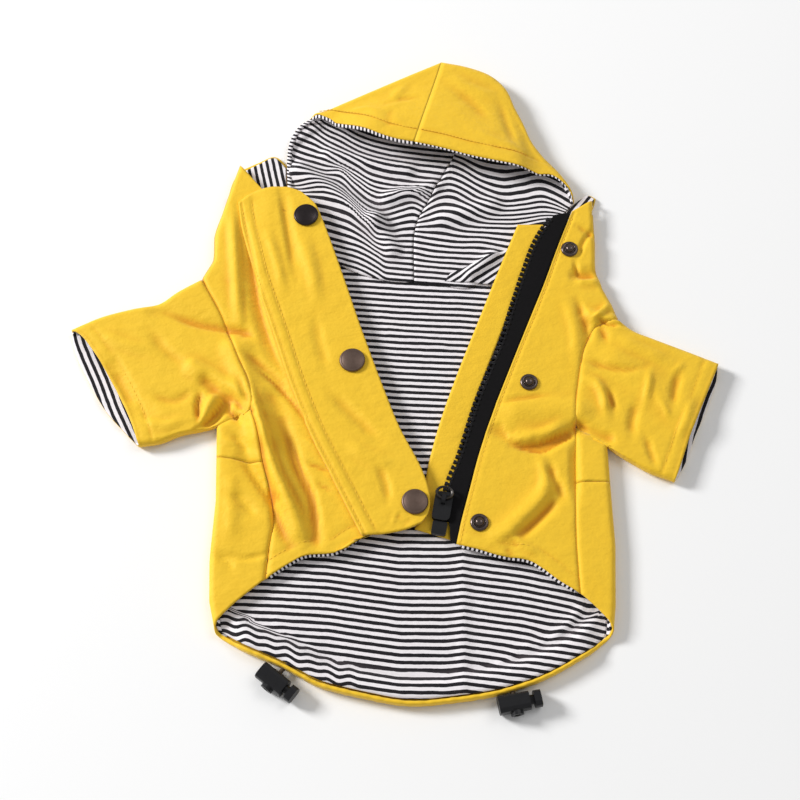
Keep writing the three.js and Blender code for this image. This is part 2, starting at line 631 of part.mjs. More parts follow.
function zipGuard() {
  const edge = curve(GUARD_EDGE);
  const on = (t) => (p) => {
    const raised = HOOD_EASE * smoothStep(55, 80, p.y);
    return new THREE.Vector3(p.x, p.y, LINING_TOP + GAP + raised + t);
  };
  return strip('zip_guard', YELLOW, edge, shifted(edge, 15, 0), 14, on, 1);
}

function zipTapeRight() {
  return strip(
    'zip_tape_right', BLACK_TAPE, curve(TEETH_EDGE), shifted(curve(ZIP_EDGE), -GAP, 0), 20,
    (t) => level(TAPE_FLOOR + t), TAPE,
  );
}

function zipTapeLeft() {
  const edge = curve([[5, -68], [6, -60], [-6, -19.2], [-24, 32], [-39, 79], [-49, 106]]);
  const on = (t) => level(LEFT_TAPE_FLOOR + t);
  return strip('zip_tape_left', BLACK_TAPE, shifted(edge, -5, 0), shifted(edge, 4.5, 0), 16, on, TAPE);
}

function extruded(outline, depth, holes = []) {
  const shape = new THREE.Shape(outline);
  shape.holes = holes.map((hole) => new THREE.Path(hole));
  return new THREE.ExtrudeGeometry(shape, { depth, bevelEnabled: false });
}

function ellipse(radiusX, radiusY, count, x = 0, y = 0) {
  return Array.from({ length: count }, (_, i) => {
    const angle = (2 * Math.PI * i) / count;
    return new THREE.Vector2(x + radiusX * Math.cos(angle), y + radiusY * Math.sin(angle));
  });
}

function rounded(width, height, radius, steps = 3) {
  const points = [];
  const corners = [[1, 1], [-1, 1], [-1, -1], [1, -1]];
  corners.forEach(([sx, sy], corner) => {
    for (let i = 0; i <= steps; i += 1) {
      const angle = (Math.PI / 2) * (corner + i / steps);
      points.push(new THREE.Vector2(
        sx * (width / 2 - radius) + radius * Math.cos(angle),
        sy * (height / 2 - radius) + radius * Math.sin(angle),
      ));
    }
  });
  return points;
}

function zipSlider() {
  const lower = new THREE.Mesh(extruded(rounded(SLIDER.width, SLIDER.length, 2.4), PLATE));
  lower.geometry.translate(0, 0, SLOT_FLOOR - PLATE);
  const upper = new THREE.Mesh(extruded(rounded(SLIDER.width, SLIDER.length, 2.4), PLATE + 0.3));
  upper.geometry.translate(0, 0, SLOT_TOP);
  const post = new THREE.Mesh(extruded(rounded(3.4, 12, 1.2), SLOT_TOP - SLOT_FLOOR + 1));
  post.geometry.translate(-2, 0, SLOT_FLOOR - 0.5);
  const arch = new THREE.Mesh(extruded([
    [0.8, 0], [0.8, 2.3], [1.9, 3.5], [5.1, 3.5], [6.2, 2.3], [6.2, 0],
  ].map(([y, z]) => new THREE.Vector2(y, z)), 2, [ellipse(1.25, 1.1, 12, PULL.reach + 0.3, 1.25)]));
  arch.geometry.applyMatrix4(new THREE.Matrix4().makeBasis(
    new THREE.Vector3(0, 1, 0), new THREE.Vector3(0, 0, 1), new THREE.Vector3(1, 0, 0),
  ));
  arch.geometry.translate(-1, 0, SLOT_TOP + PLATE + 0.1);
  return union('zip_slider', BLACK_PLASTIC, [lower, upper, post, arch]);
}

function zipPull() {
  const geometry = new THREE.TorusGeometry(PULL.radius, PULL.wire, 7, 16);
  geometry.scale(PULL.stretch, 0.86, 1);
  geometry.translate(0, PULL.reach + 0.3 + PULL.radius * 0.86, SLOT_TOP + PLATE + 1.35);
  const mesh = new THREE.Mesh(geometry, GUNMETAL);
  mesh.name = 'zip_pull';
  return mesh;
}

function zipBox() {
  const geometry = extruded(rounded(7.4, 7, 1), 2.6);
  geometry.translate(0.2, -11.3, SLOT_FLOOR - PLATE + 0.1);
  const mesh = new THREE.Mesh(geometry, BLACK_PLASTIC);
  mesh.name = 'zip_box';
  return mesh;
}

// Snaps
function lathe(name, material, profile, segments) {
  const points = profile.map(([r, z]) => new THREE.Vector2(r, z));
  const geometry = new THREE.LatheGeometry(points, segments);
  geometry.rotateX(Math.PI / 2);
  const mesh = new THREE.Mesh(geometry, material);
  mesh.name = name;
  return mesh;
}

function snaps() {
  const capProfile = [[0, 0], [CAP_RADIUS - 0.5, 0], [CAP_RADIUS, 0.7], [CAP_RADIUS - 0.3, 1.4],
    [CAP_RADIUS - 1.4, 1.9], [3, CAP_HEIGHT - 0.1], [0, CAP_HEIGHT]];
  const studProfile = [[0, 0], [STUD_RADIUS - 0.4, 0], [STUD_RADIUS, 0.5], [STUD_RADIUS - 0.4, 1.2],
    [STUD_RADIUS - 1.5, 1.3], [2.3, 0.9], [1.9, 2.2], [1.3, 2.7], [0, 2.9]];
  const caps = CAPS.map(([x, y], index) => {
    const cap = lathe(`snap_cap_${index + 1}`, GUNMETAL, capProfile, 14);
    cap.position.set(x, y, frontTop(x, y) + 2 * GAP + FLAP + 0.3);
    return cap;
  });
  const studs = STUDS.map(([x, y], index) => {
    const stud = lathe(`snap_stud_${index + 1}`, GUNMETAL, studProfile, 12);
    stud.position.set(x, y, frontTop(x, y) + GAP + 0.3);
    return stud;
  });
  return [...caps, ...studs];
}

// Sleeves: a flattened tube from the armhole to the cuff, one ring after another
const SLEEVE_RINGS = 6;

function sleeveRows() {
  const list = [];
  for (const angle of [0, 30, 60, 90]) list.push({ edge: 0, angle });
  for (let i = 1; i < 8; i += 1) list.push({ share: i / 8, upper: true });
  for (const angle of [90, 60, 30, 0, -30, -60, -90]) list.push({ edge: 1, angle });
  for (let i = 5; i > 0; i -= 1) list.push({ share: i / 6, upper: false });
  for (const angle of [-90, -60, -30]) list.push({ edge: 0, angle });
  return list;
}

function sleeve(name, material, cut, armhole, backArmhole, along, from, outer, inner) {
  const top = curve(cut.top);
  const under = curve(cut.under);
  const upper = patch({ near: armhole, far: curve(cut.cuff), start: top, end: under });
  const lower = patch({ near: backArmhole, far: curve(cut.lowerCuff), start: top, end: under });
  const list = sleeveRows();
  const ringPoint = (k, row, inset) => {
    const length = top(k).distanceTo(under(k));
    const isUpper = row.upper ?? row.angle >= 0;
    const radius = EDGE_RADIUS / length;
    let across = radius + (row.share ?? 0) * (1 - 2 * radius);
    if (row.edge !== undefined) {
      const angle = THREE.MathUtils.degToRad(row.angle);
      across = (inset + (EDGE_RADIUS - inset) * (1 - Math.cos(angle))) / length;
      if (row.edge === 1) across = 1 - across;
    }
    const point = (isUpper ? upper : lower)(across, k);
    const half = frontTop(point.x, point.y) / 2;
    const rise = row.angle === undefined ? (isUpper ? 1 : -1) : Math.sin(THREE.MathUtils.degToRad(row.angle));
    return new THREE.Vector3(point.x, point.y, half + (half - inset) * rise);
  };
  const positions = [];
  for (const inset of [outer, inner]) {
    for (let k = 0; k <= along; k += 1) {
      for (const row of list) positions.push(ringPoint(from + (1 - from) * (k / along), row, inset));
    }
  }
  const count = list.length;
  const layer = (along + 1) * count;
  const at = (k, i, side) => side * layer + k * count + (i % count);
  const triangles = [];
  const quad = (a, b, c, d) => triangles.push(a, b, c, a, c, d);
  for (let i = 0; i < count; i += 1) {
    for (let k = 0; k < along; k += 1) {
      quad(at(k, i, 0), at(k, i + 1, 0), at(k + 1, i + 1, 0), at(k + 1, i, 0));
      quad(at(k, i, 1), at(k + 1, i, 1), at(k + 1, i + 1, 1), at(k, i + 1, 1));
    }
    quad(at(0, i, 0), at(0, i, 1), at(0, i + 1, 1), at(0, i + 1, 0));
    quad(at(along, i, 0), at(along, i + 1, 0), at(along, i + 1, 1), at(along, i, 1));
  }
  return solid(name, material, positions, triangles);
}

function sleeves() {
  const leftHole = curve([...ARMHOLE_LEFT.slice().reverse(), ...UNDERARM_LEFT.slice(1)]);
  const rightHole = curve([...ARMHOLE_RIGHT.slice().reverse(), ...UNDERARM_RIGHT.slice(1)]);
  const sides = [
    ['left', SLEEVE_LEFT, leftHole, curve(BACK_ARMHOLE_LEFT.slice().reverse()), -GAP],
    ['right', SLEEVE_RIGHT, rightHole, curve(BACK_ARMHOLE_RIGHT.slice().reverse()), GAP],
  ];
  return sides.flatMap(([side, cut, armhole, back, shift]) => [
    sleeve(`sleeve_${side}`, YELLOW, cut, shifted(armhole, shift, 0), shifted(back, shift * 3, 0),
      SLEEVE_RINGS, 0.01, 0, SHELL),
    sleeve(`sleeve_lining_${side}`, STRIPED, cut, armhole, back,
      2, 0.74, LINING_FLOOR + GAP, LINING_TOP + 0.1),
  ]);
}

// Hood: each half runs from the neck over the floor, turns at the crown and comes back to the brim
const HOOD_COLUMNS = 8;
const HOOD_FLOOR_ROWS = 7;
const HOOD_TURN_ROWS = 5;
const HOOD_BACK_ROWS = 3;
const CROWN_TURN = Math.PI * CROWN_RADIUS;
const HOOD_ROWS = HOOD_FLOOR_ROWS + HOOD_TURN_ROWS + HOOD_BACK_ROWS;
const CURL_LEAST = 0.15;
const CURL_FULL = 9;
const HOOD_EASE = 0.3;
const HOOD_LINING_ROWS = 10;
const LINED_SHORT = 5.5;

function hoodFace(plan, crown, inset) {
  const fold = rows(crown, 'x', 'y');
  const brim = rows(crown, 'brimX', 'brimY');
  const half = CROWN_HEIGHT / 2;
  return (a, b) => {
    const row = Math.round(b * HOOD_ROWS);
    const [start, end, back] = [plan(a, 0), fold(a), brim(a)];
    const length = start.distanceTo(end);
    const returned = end.distanceTo(back);
    const curled = THREE.MathUtils.lerp(CURL_LEAST, 1, smoothStep(0, CURL_FULL, returned));
    const laidBack = smoothStep(CURL_FULL * 0.7, CURL_FULL * 1.6, returned);
    const reach = CROWN_RADIUS * Math.sin(Math.PI * Math.min(curled, 0.5));
    const floorLength = length - reach;
    if (row <= HOOD_FLOOR_ROWS) {
      const point = plan(a, (floorLength / length) * (row / HOOD_FLOOR_ROWS));
      return new THREE.Vector3(point.x, point.y, inset);
    }
    const step = row - HOOD_FLOOR_ROWS;
    const backLength = Math.max(returned - CROWN_RADIUS, 0);
    const onArc = (curled * CROWN_TURN * step) / (HOOD_TURN_ROWS + HOOD_BACK_ROWS);
    const full = CROWN_TURN * Math.min(step / HOOD_TURN_ROWS, 1)
      + (backLength * Math.max(step - HOOD_TURN_ROWS, 0)) / HOOD_BACK_ROWS;
    const travelled = THREE.MathUtils.lerp(onArc, full, laidBack);
    const outward = end.clone().sub(start).divideScalar(length);
    if (returned > 0.5) outward.add(end.clone().sub(back).divideScalar(returned));
    outward.normalize();
    const centre = end.clone().sub(outward.clone().multiplyScalar(reach));
    if (travelled < CROWN_TURN) {
      const angle = Math.PI * (travelled / CROWN_TURN - 0.5);
      const point = centre.add(outward.multiplyScalar((CROWN_RADIUS - inset) * Math.cos(angle)));
      return new THREE.Vector3(point.x, point.y, half + (half - inset) * Math.sin(angle));
    }
    const share = backLength ? (travelled - CROWN_TURN) / backLength : 0;
    const point = centre.lerp(back, share);
    const rise = (BRIM_HEIGHT - CROWN_HEIGHT) * smoothStep(0, 1, share) * smoothStep(4, 40, returned);
    return new THREE.Vector3(point.x, point.y, CROWN_HEIGHT - inset + rise);
  };
}

function hood() {
  const seam = curve(HOOD_SEAM);
  const halves = [
    {
      side: 'left', crown: CROWN_LEFT,
      plan: patch({
        near: neckParts[1], far: rows(CROWN_LEFT, 'x', 'y'),
        start: curve(HOOD_SIDE_LEFT), end: shifted(seam, -GAP / 2, 0),
      }),
    },
    {
      side: 'right', crown: CROWN_RIGHT,
      plan: patch({
        near: neckParts[2], far: rows(CROWN_RIGHT, 'x', 'y'),
        start: shifted(seam, GAP / 2, 0), end: curve(HOOD_SIDE_RIGHT),
      }),
    },
  ];
  return halves.flatMap(({ side, crown, plan }) => {
    const lined = (a, b) => {
      const length = plan(a, 0).distanceTo(plan(a, 1));
      return plan(a, b * (1 - LINED_SHORT / length));
    };
    const raised = (height) => ({ x, y }) => (
      new THREE.Vector3(x, y, height + HOOD_EASE + relief(HOOD_FOLDS, x, y))
    );
    const face = (inset) => hoodFace(plan, crown, inset);
    const [under, over] = [raised(LINING_FLOOR), raised(LINING_TOP)];
    return [
      wall(`hood_${side}`, YELLOW, HOOD_COLUMNS, HOOD_ROWS, face(0), face(SHELL)),
      sheet(`hood_lining_${side}`, STRIPED, HOOD_COLUMNS, HOOD_LINING_ROWS, lined, under, over),
    ];
  });
}

// Neck ends beside the hood
function collars() {
  const ends = [
    {
      side: 'left', near: neckParts[0],
      start: curve([[-94, 121], [-92, 131], [-88.5, 139]]),
      end: curve([[-59, 106], [-61, 128], [-61, 141.5]]),
      far: curve([[-88.5, 139], [-78, 144.5], [-69, 148.5], [-61, 141.5]]),
      shift: -4 * GAP, trim: [-1.2, -1.4],
    },
    {
      side: 'right', near: neckParts[3],
      start: curve([[84, 105], [90.5, 111.5], [96.5, 117.5]]),
      end: curve([[104, 111], [106, 116], [107.5, 121]]),
      far: curve([[96.5, 117.5], [100, 120.5], [104, 123], [107.5, 121]]),
      shift: 3 * GAP, trim: [-1.2, -0.6],
    },
  ];
  return ends.flatMap(({ side, near, start, end, far, shift, trim }) => {
    const plan = patch({ near, far, start, end });
    const moved = (a, b) => plan(a, b).add(new THREE.Vector2(shift, GAP));
    const trimmed = (a, b) => moved(a, b).add(new THREE.Vector2(trim[0] * b, trim[1] * b));
    return [
      sheet(`collar_${side}`, YELLOW, 4, 4, moved, level(0), level(SHELL)),
      sheet(`collar_lining_${side}`, STRIPED, 4, 4, trimmed, level(LINING_FLOOR), level(LINING_TOP)),
    ];
  });
}

// Hem casing: the turned hem of the back, pierced where the draw cord leaves it
function cylinder(radius, length, segments) {
  return new THREE.Mesh(new THREE.CylinderGeometry(radius, radius, length, segments));
}

function hemCasing() {
  const line = curve(BACK_HEM);
  const section = [
    [0.5, 0], [0, 0.14], [0, 0.86], [0.5, 1], [HEM_WIDTH - 0.5, 1], [HEM_WIDTH, 0.86], [HEM_WIDTH, 0.14],
    [HEM_WIDTH - 0.5, 0],
  ];
  const steps = 30;
  const positions = [];
  for (let k = 0; k <= steps; k += 1) {
    const point = line(THREE.MathUtils.lerp(0.018, 0.982, k / steps));
    const height = LINING_TOP + GAP + casingLift(point.x, point.y + HEM_WIDTH + GAP);
    for (const [dy, share] of section) {
      positions.push(new THREE.Vector3(point.x, point.y + dy, height * share));
    }
  }
  const count = section.length;
  const triangles = [];
  for (let k = 0; k < steps; k += 1) {
    for (let i = 0; i < count; i += 1) {
      const next = (i + 1) % count;
      const [a, b, c, d] = [k * count + i, k * count + next, (k + 1) * count + next, (k + 1) * count + i];
      triangles.push(a, b, c, a, c, d);
    }
  }
  for (let i = 1; i < count - 1; i += 1) {
    triangles.push(0, i + 1, i);
    triangles.push(steps * count, steps * count + i, steps * count + i + 1);
  }
  const bar = toManifold(solid('bar', YELLOW, positions, triangles));
  const eyelets = LOCKS.map((lock) => {
    const hole = cylinder(EYELET_RADIUS, 8, 10);
    hole.geometry.translate(CORD_HOLE.x, EYELET_REACH, CASING_CORD_Z + 0.2);
    hole.geometry.applyMatrix4(lockMatrix(lock));
    return toManifold(hole);
  });
  return fromManifold('hem_casing', YELLOW, eyelets.reduce((all, hole) => all.subtract(hole), bar));
}

// Cord locks. Local +X points to the button, +Y to the hem.
function lockMatrix({ x, y, turn: degrees }) {
  const matrix = new THREE.Matrix4().makeRotationZ(THREE.MathUtils.degToRad(degrees));
  return matrix.setPosition(x, y, 0);
}

function alongX(outline, from, to) {
  const geometry = extruded(outline, to - from);
  geometry.applyMatrix4(new THREE.Matrix4().makeBasis(
    new THREE.Vector3(0, 1, 0), new THREE.Vector3(0, 0, 1), new THREE.Vector3(1, 0, 0),
  ));
  geometry.translate(from, 0, LOCK.height / 2);
  return new THREE.Mesh(geometry);
}

function alongY(radius, from, to, segments) {
  const mesh = cylinder(radius, to - from, segments);
  mesh.geometry.translate(CORD_HOLE.x, (from + to) / 2, LOCK.height / 2);
  return mesh;
}

function placed(name, material, geometry, lock) {
  geometry.applyMatrix4(lockMatrix(lock));
  const mesh = new THREE.Mesh(geometry, material);
  mesh.name = name;
  return mesh;
}

function cordLock(lock) {
  const half = LOCK.width / 2;
  const shell = toManifold(alongX(rounded(LOCK.width, LOCK.height, LOCK.corner), LOCK.tail, LOCK.mouth));
  const boss = toManifold(alongY(BOSS.radius, -half - BOSS.height, 0, 14));
  const pocket = toManifold(alongX(
    ellipse(STEM.radius + STEM.clearance, STEM.radius + STEM.clearance, 14),
    STEM.end - LOCK.travel - STEM.clearance, LOCK.mouth + 1,
  ));
  const hole = toManifold(alongY(CORD_HOLE.radius, -half - BOSS.height - 1, half + 1, 10));
  const body = fromManifold('body', BLACK_PLASTIC, shell.add(boss).subtract(pocket).subtract(hole));

  const headStart = LOCK.mouth + LOCK.gap;
  const headOutline = rounded(LOCK.width - 0.6, LOCK.height - 0.6, LOCK.corner);
  const head = toManifold(alongX(headOutline, headStart, headStart + LOCK.head));
  const stem = toManifold(alongX(ellipse(STEM.radius, STEM.radius, 12), STEM.end, headStart + 1));
  const slotLength = 2 * CORD_HOLE.radius + LOCK.travel + STEM.clearance;
  const slot = new THREE.BoxGeometry(slotLength, 2 * STEM.radius + 1, 2 * CORD_HOLE.radius);
  slot.translate(CORD_HOLE.x + (LOCK.travel + STEM.clearance) / 2, 0, LOCK.height / 2);
  const solidButton = head.add(stem).subtract(toManifold(new THREE.Mesh(slot)));
  const button = fromManifold('button', BLACK_PLASTIC, solidButton);

  const outer = CORD_END_INSET - half - BOSS.height;
  const middle = LOCK.height / 2;
  const route = [
    [CORD_HOLE.x, outer, middle], [CORD_HOLE.x, -2, middle], [CORD_HOLE.x, 2, middle],
    [CORD_HOLE.x, 5, middle - 0.5], ...lock.inside.map(([x, y]) => [x, y, CASING_CORD_Z]),
  ];
  const path = new THREE.CatmullRomCurve3(route.map((point) => new THREE.Vector3(...point)));
  const section = new THREE.Shape(ellipse(CORD_RADIUS, CORD_RADIUS, 8));
  const cord = new THREE.ExtrudeGeometry(section, { steps: 18, extrudePath: path, bevelEnabled: false });
  return [
    placed(`cord_lock_${lock.side}`, BLACK_PLASTIC, body.geometry, lock),
    placed(`cord_lock_button_${lock.side}`, BLACK_PLASTIC, button.geometry, lock),
    placed(`draw_cord_${lock.side}`, CORD, cord, lock),
  ];
}

const coat = new THREE.Group();
coat.position.set(-OUTLINE_MIDDLE.x, -OUTLINE_MIDDLE.y, 0);
coat.add(backUpper(), backLower(), backLining(), frontLeft(), frontRight(), snapFlap());
coat.add(zipGuard(), zipTapeRight(), zipTapeLeft(), ...snaps(), ...sleeves(), ...hood());
coat.add(...collars(), hemCasing(), ...LOCKS.flatMap(cordLock));
const zip = new THREE.Group();
zip.position.set(SLIDER.x, SLIDER.y, 0);
zip.rotation.z = THREE.MathUtils.degToRad(SLIDER.turn);
zip.add(zipSlider(), zipPull(), zipBox());
coat.add(zip);
export default coat;
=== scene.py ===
"""Dog raincoat: its cloth, stitching, zip and fittings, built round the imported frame."""
import math

import bpy
import numpy as np
from mathutils import Matrix, Vector


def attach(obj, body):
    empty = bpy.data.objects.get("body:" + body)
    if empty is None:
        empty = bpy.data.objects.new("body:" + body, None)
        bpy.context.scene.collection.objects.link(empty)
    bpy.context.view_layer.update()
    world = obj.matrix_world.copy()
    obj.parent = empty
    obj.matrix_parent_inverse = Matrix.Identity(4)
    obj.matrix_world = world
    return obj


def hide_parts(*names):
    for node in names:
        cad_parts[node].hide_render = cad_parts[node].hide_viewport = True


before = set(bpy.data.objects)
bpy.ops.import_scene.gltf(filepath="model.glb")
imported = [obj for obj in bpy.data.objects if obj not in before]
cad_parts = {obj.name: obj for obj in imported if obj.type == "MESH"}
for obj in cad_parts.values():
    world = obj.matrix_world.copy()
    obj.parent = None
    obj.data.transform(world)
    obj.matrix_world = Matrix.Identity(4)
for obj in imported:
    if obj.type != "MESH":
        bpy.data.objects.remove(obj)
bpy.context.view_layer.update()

# Lengths are millimetres in the coat's drawing frame, and metres once in Blender
MM = 0.001
MIDDLE = np.array([-3.55, 22.8, 0.0])

# Camera of the photograph
CAMERA = {"elevation": 66.0, "distance": 750.0, "view_width": 416.0, "sensor": 36.0}
LOOK_AT = np.array([0.0, 0.0, 0.0])

# Cloth: wall thicknesses, gap at seams and heights of the layers
SHELL = 1.0
LINING = 0.9
FRONT = 1.2
FLAP = 1.5
GAP = 0.3
LOFT = 6.6
LINING_FLOOR = SHELL + GAP
LINING_TOP = LINING_FLOOR + LINING
TAPE_FLOOR = 5.2
LEFT_TAPE_FLOOR = 4.2
EDGE_RADIUS = 3.4

# Length of a mesh cell, how much the finer creases are raised, and the share of their width they keep
CELL = 1.7
FOLD_GAIN = 1.5
CREASE_SHARE = 0.82

# Wall of each piece. The crown's lining lies on the other side of its grid
WALL = {"front": 0.9, "flap": 1.3, "facing": 0.5, "guard": 0.9, "tape": 0.8, "hood": 0.9,
        "crown_lining": -0.3, "edging": 0.4, "tuck": 0.45, "collar": 0.95}

# Hem casing and hood
CASING_WIDTH = 15.0
CASING_LIFT = 3.2
HEM_WIDTH = 2.4
CROWN_HEIGHT = 9.0
BRIM_HEIGHT = 15.0
CROWN_RADIUS = CROWN_HEIGHT / 2
HOOD_EASE = 0.3

# Stripes of the lining: their pitch, their pitch on a turned edge, how far they wander as a share of
# the pitch, and where black turns to white
STRIPE = 3.56
EDGING_PITCH = 2.3
STRIPE_WANDER = 0.16
STRIPE_EDGE = (0.232, 0.272)

# Zip, snaps and cord locks
TOOTH = {"pitch": 3.1, "first": 27.0, "length": 3.2, "width": 2.1, "height": 1.75, "aside": -0.3,
         "sunk": 0.5}
CAP_RADIUS = 6.7
STUD_RADIUS = 4.6
CORD_RADIUS = 1.1
CORD_HOLE_X = -1.0
LOCK_HEIGHT = 8.0
LOCK_WIDTH = 8.6
BOSS_HEIGHT = 1.6
CORD_END_INSET = 0.4
CASING_CORD_Z = 2.6

# Each cord lock: its place and turn, and the cord's points from the lock into the casing
LOCKS = [
    {"side": "left", "x": -59.3, "y": -148.2, "turn": -38,
     "inside": [(-1, 8.1), (-0.4, 10.5), (2.2, 12.1), (5.8, 13.4), (10, 14.5), (15, 15.7)]},
    {"side": "right", "x": 55.4, "y": -158.4, "turn": 11,
     "inside": [(-1, 8.2), (-1.9, 10.4), (-4.2, 11.6), (-8, 11.7), (-13, 11.3), (-18, 10.7)]},
]

# Outline of the body: folded sides as (y, x)
LEFT_SIDE = [
    (-126, -89), (-109, -93), (-88, -94), (-57, -92.5), (-17, -94), (25, -101), (69, -106.5), (80, -101),
    (96, -101), (110, -97.5), (128, -93), (144, -88.5),
]
RIGHT_SIDE = [
    (-126, 103), (-111, 105), (-81, 106.7), (-46, 106), (-28, 105.8), (8, 111), (44, 115.8), (53, 113),
    (63, 108.5), (75, 105.3), (93, 106), (120, 106),
]

# Seams and edges in plan, as (x, y)
NECK_LEFT = [(-94, 121), (-78, 115), (-59, 106)]
NECK_MIDDLE_LEFT = [(-59, 106), (-49, 98), (-30, 80), (-8, 72), (7.5, 70.5)]
NECK_MIDDLE_RIGHT = [(7.5, 70.5), (21.5, 69), (37.5, 67.5), (54, 80), (66, 93), (84, 105)]
NECK_RIGHT = [(84, 105), (94, 109), (104, 111)]
BACK_HEM = [
    (-86.5, -127), (-76.1, -133.1), (-64, -138.3), (-55.8, -142), (-47.7, -146.3), (-39.6, -150.5),
    (-31.7, -152.9), (-15.8, -156.6), (0, -159.5), (11, -159.8), (22, -158.7), (34.7, -157.1),
    (46.6, -154.9), (55.5, -152.3), (65, -149.1), (74.8, -144.6), (84.7, -139), (92.1, -134.6), (99, -129),
]
FRONT_HEM_LEFT = [
    (-66, -98.4), (-53.7, -90), (-46.5, -86.4), (-31.8, -84.7), (-24, -79.5), (-18.7, -76.5),
]
FRONT_HEM_RIGHT = [
    (28, -80.5), (39, -83.3), (49, -86.4), (63.5, -89), (70, -93), (77.7, -99), (88, -105.6),
]
SIDE_SEAM_LEFT = [
    (-66, -98.4), (-64.7, -82), (-63.2, -69), (-65.5, -52), (-69.4, -38), (-73, -20), (-76.8, -8.5),
]
SIDE_SEAM_RIGHT = [(88, -105.6), (87.4, -80), (88, -59), (88.6, -48), (89, -37.5), (90.4, -16)]
ARMHOLE_LEFT = [
    (-76.8, -8.5), (-76.3, -1), (-79, 9.7), (-83, 18.3), (-88.9, 32.8), (-94.9, 47.5), (-106.5, 69),
]
ARMHOLE_RIGHT = [(90.4, -16), (90.6, -4.5), (92.3, 6.8), (94.4, 18.3), (97.6, 29.8), (104, 40), (115.8, 44)]
UNDERARM_LEFT = [(-76.8, -8.5), (-82.5, -12.8), (-94, -17)]
UNDERARM_RIGHT = [(90.4, -16), (95.5, -22), (105.8, -28)]
BACK_ARMHOLE_LEFT = [(-94, -17), (-89, 2), (-88, 25), (-94, 48), (-106.5, 69)]
BACK_ARMHOLE_RIGHT = [(105.8, -28), (99.5, -12), (98, 8), (103, 28), (115.8, 44)]
FLOOR_ARMHOLE_LEFT = [(-90.6, -17), (-87.6, 2), (-86.6, 25), (-92.6, 48), (-102.4, 67)]
FLOOR_ARMHOLE_RIGHT = [(102.4, -28), (98, -12), (96.5, 8), (101.4, 28), (111.4, 43)]
LINING_ARMHOLE_LEFT = [(-89.5, -16), (-87.6, 2), (-86.6, 25), (-92.6, 48), (-101, 66)]
LINING_ARMHOLE_RIGHT = [(101.4, -27), (98, -12), (96.5, 8), (101.4, 28), (110, 42.5)]
SHOULDER_LEFT = [(-106.3, 69.3), (-101, 80), (-101, 96), (-97.5, 110), (-92.5, 128), (-89, 140.5)]
SHOULDER_RIGHT = [(115.5, 44.5), (113, 53), (108.5, 63), (105.3, 75), (106, 93), (105, 108), (106.3, 118)]
FLAP_SEAM = [
    (-18.7, -76.5), (-27.3, -59.2), (-35.1, -43.3), (-45.6, -21.5), (-56.6, 6.4), (-64.2, 29.3), (-69, 43.6),
    (-77.4, 68.1), (-81.9, 85.6), (-86, 101.2), (-88.4, 115.5),
]
FLAP_EDGE = [
    (10.6, -70), (14, -65), (15, -57), (13.5, -49), (10, -39.4), (0, -19.2), (-8.2, 2.5), (-20.9, 39.4),
    (-29.2, 65.6), (-42.3, 104.4), (-46.5, 114), (-54.7, 122),
]
FLAP_HEM = [FLAP_SEAM[0], (-8, -75.8), (3, -73.4), FLAP_EDGE[0]]
FLAP_NECK = [FLAP_SEAM[-1], (-81, 121.5), (-73.9, 124.1), (-63, 124.8), FLAP_EDGE[-1]]
ZIP_EDGE = [
    (28, -80.5), (30.7, -68.3), (34.9, -52.5), (40.4, -32.1), (49.7, -4.5), (55.8, 11.4), (62.6, 28.7),
    (70.1, 47.5), (77.2, 65.4), (85, 86.9), (94, 110),
]
TEETH_EDGE = [
    (24.8, -78), (24.4, -69.5), (22.6, -66.2), (21.7, -62), (25, -47.9), (30.3, -34.4), (40, -4), (46.6, 13),
    (53.9, 31.5), (60.9, 54), (66.8, 72.1), (74, 91.5), (84, 108),
]
GUARD_EDGE = [
    (7.4, -72), (12, -52.5), (14.1, -39), (20.5, -14.3), (31.2, 16.8), (42.3, 46.1), (53.7, 76.2),
    (64.3, 103),
]
LEFT_TAPE = [(5, -68), (6, -60), (-6, -19.2), (-24, 32), (-39, 79), (-49, 106)]
SLEEVE_LEFT = {
    "top": [(-106.5, 69), (-118.6, 61.5), (-127.7, 54.6), (-143.4, 50.7), (-158.9, 45.9), (-173.6, 38.6)],
    "under": [(-94, -17), (-102.3, -19.3), (-112.4, -21.8), (-122.3, -26), (-133, -27.6)],
    "cuff": [(-173.6, 38.6), (-167.5, 34.5), (-162.1, 27.9), (-156.1, 19.2), (-147.2, 4.9), (-142.5, -4),
             (-137.5, -15), (-133, -27.6)],
    "lower_cuff": [(-173.6, 38.6), (-172.2, 30.9), (-169, 22.1), (-162.8, 10.5), (-152.5, -6.5),
                   (-145.1, -15), (-133, -27.6)],
}
SLEEVE_RIGHT = {
    "top": [(115.8, 44), (124, 37.5), (131.6, 34.1), (152, 25.3), (166.5, 18.9)],
    "under": [(105.8, -28), (111.7, -32.8), (119, -37.7), (126.2, -42), (138.5, -46.8)],
    "cuff": [(166.5, 18.9), (162.1, 9.1), (154.4, -7.9), (148.1, -21.8), (142.9, -35.5), (138.5, -46.8)],
    "lower_cuff": [(166.5, 18.9), (164.5, 8.6), (157.2, -8.6), (150.8, -22.4), (144.9, -36.5),
                   (138.5, -46.8)],
}
HOOD_SEAM = [
    (7.5, 70.5), (7.6, 96.6), (9.9, 107.3), (16.5, 120.8), (24.5, 137), (30.8, 151.5), (31, 175), (24, 210),
]
HOOD_SIDE_LEFT = [(-59, 106), (-61, 128), (-62, 144), (-61, 157)]
HOOD_SIDE_RIGHT = [(84, 105), (90.5, 111.5), (96, 118)]
CROWN_LEFT = [
    (-61, 157), (-56, 169), (-50, 174), (-42, 176.5), (-31, 182), (-16.5, 189.5), (5, 200.5), (16, 206),
    (24, 210),
]
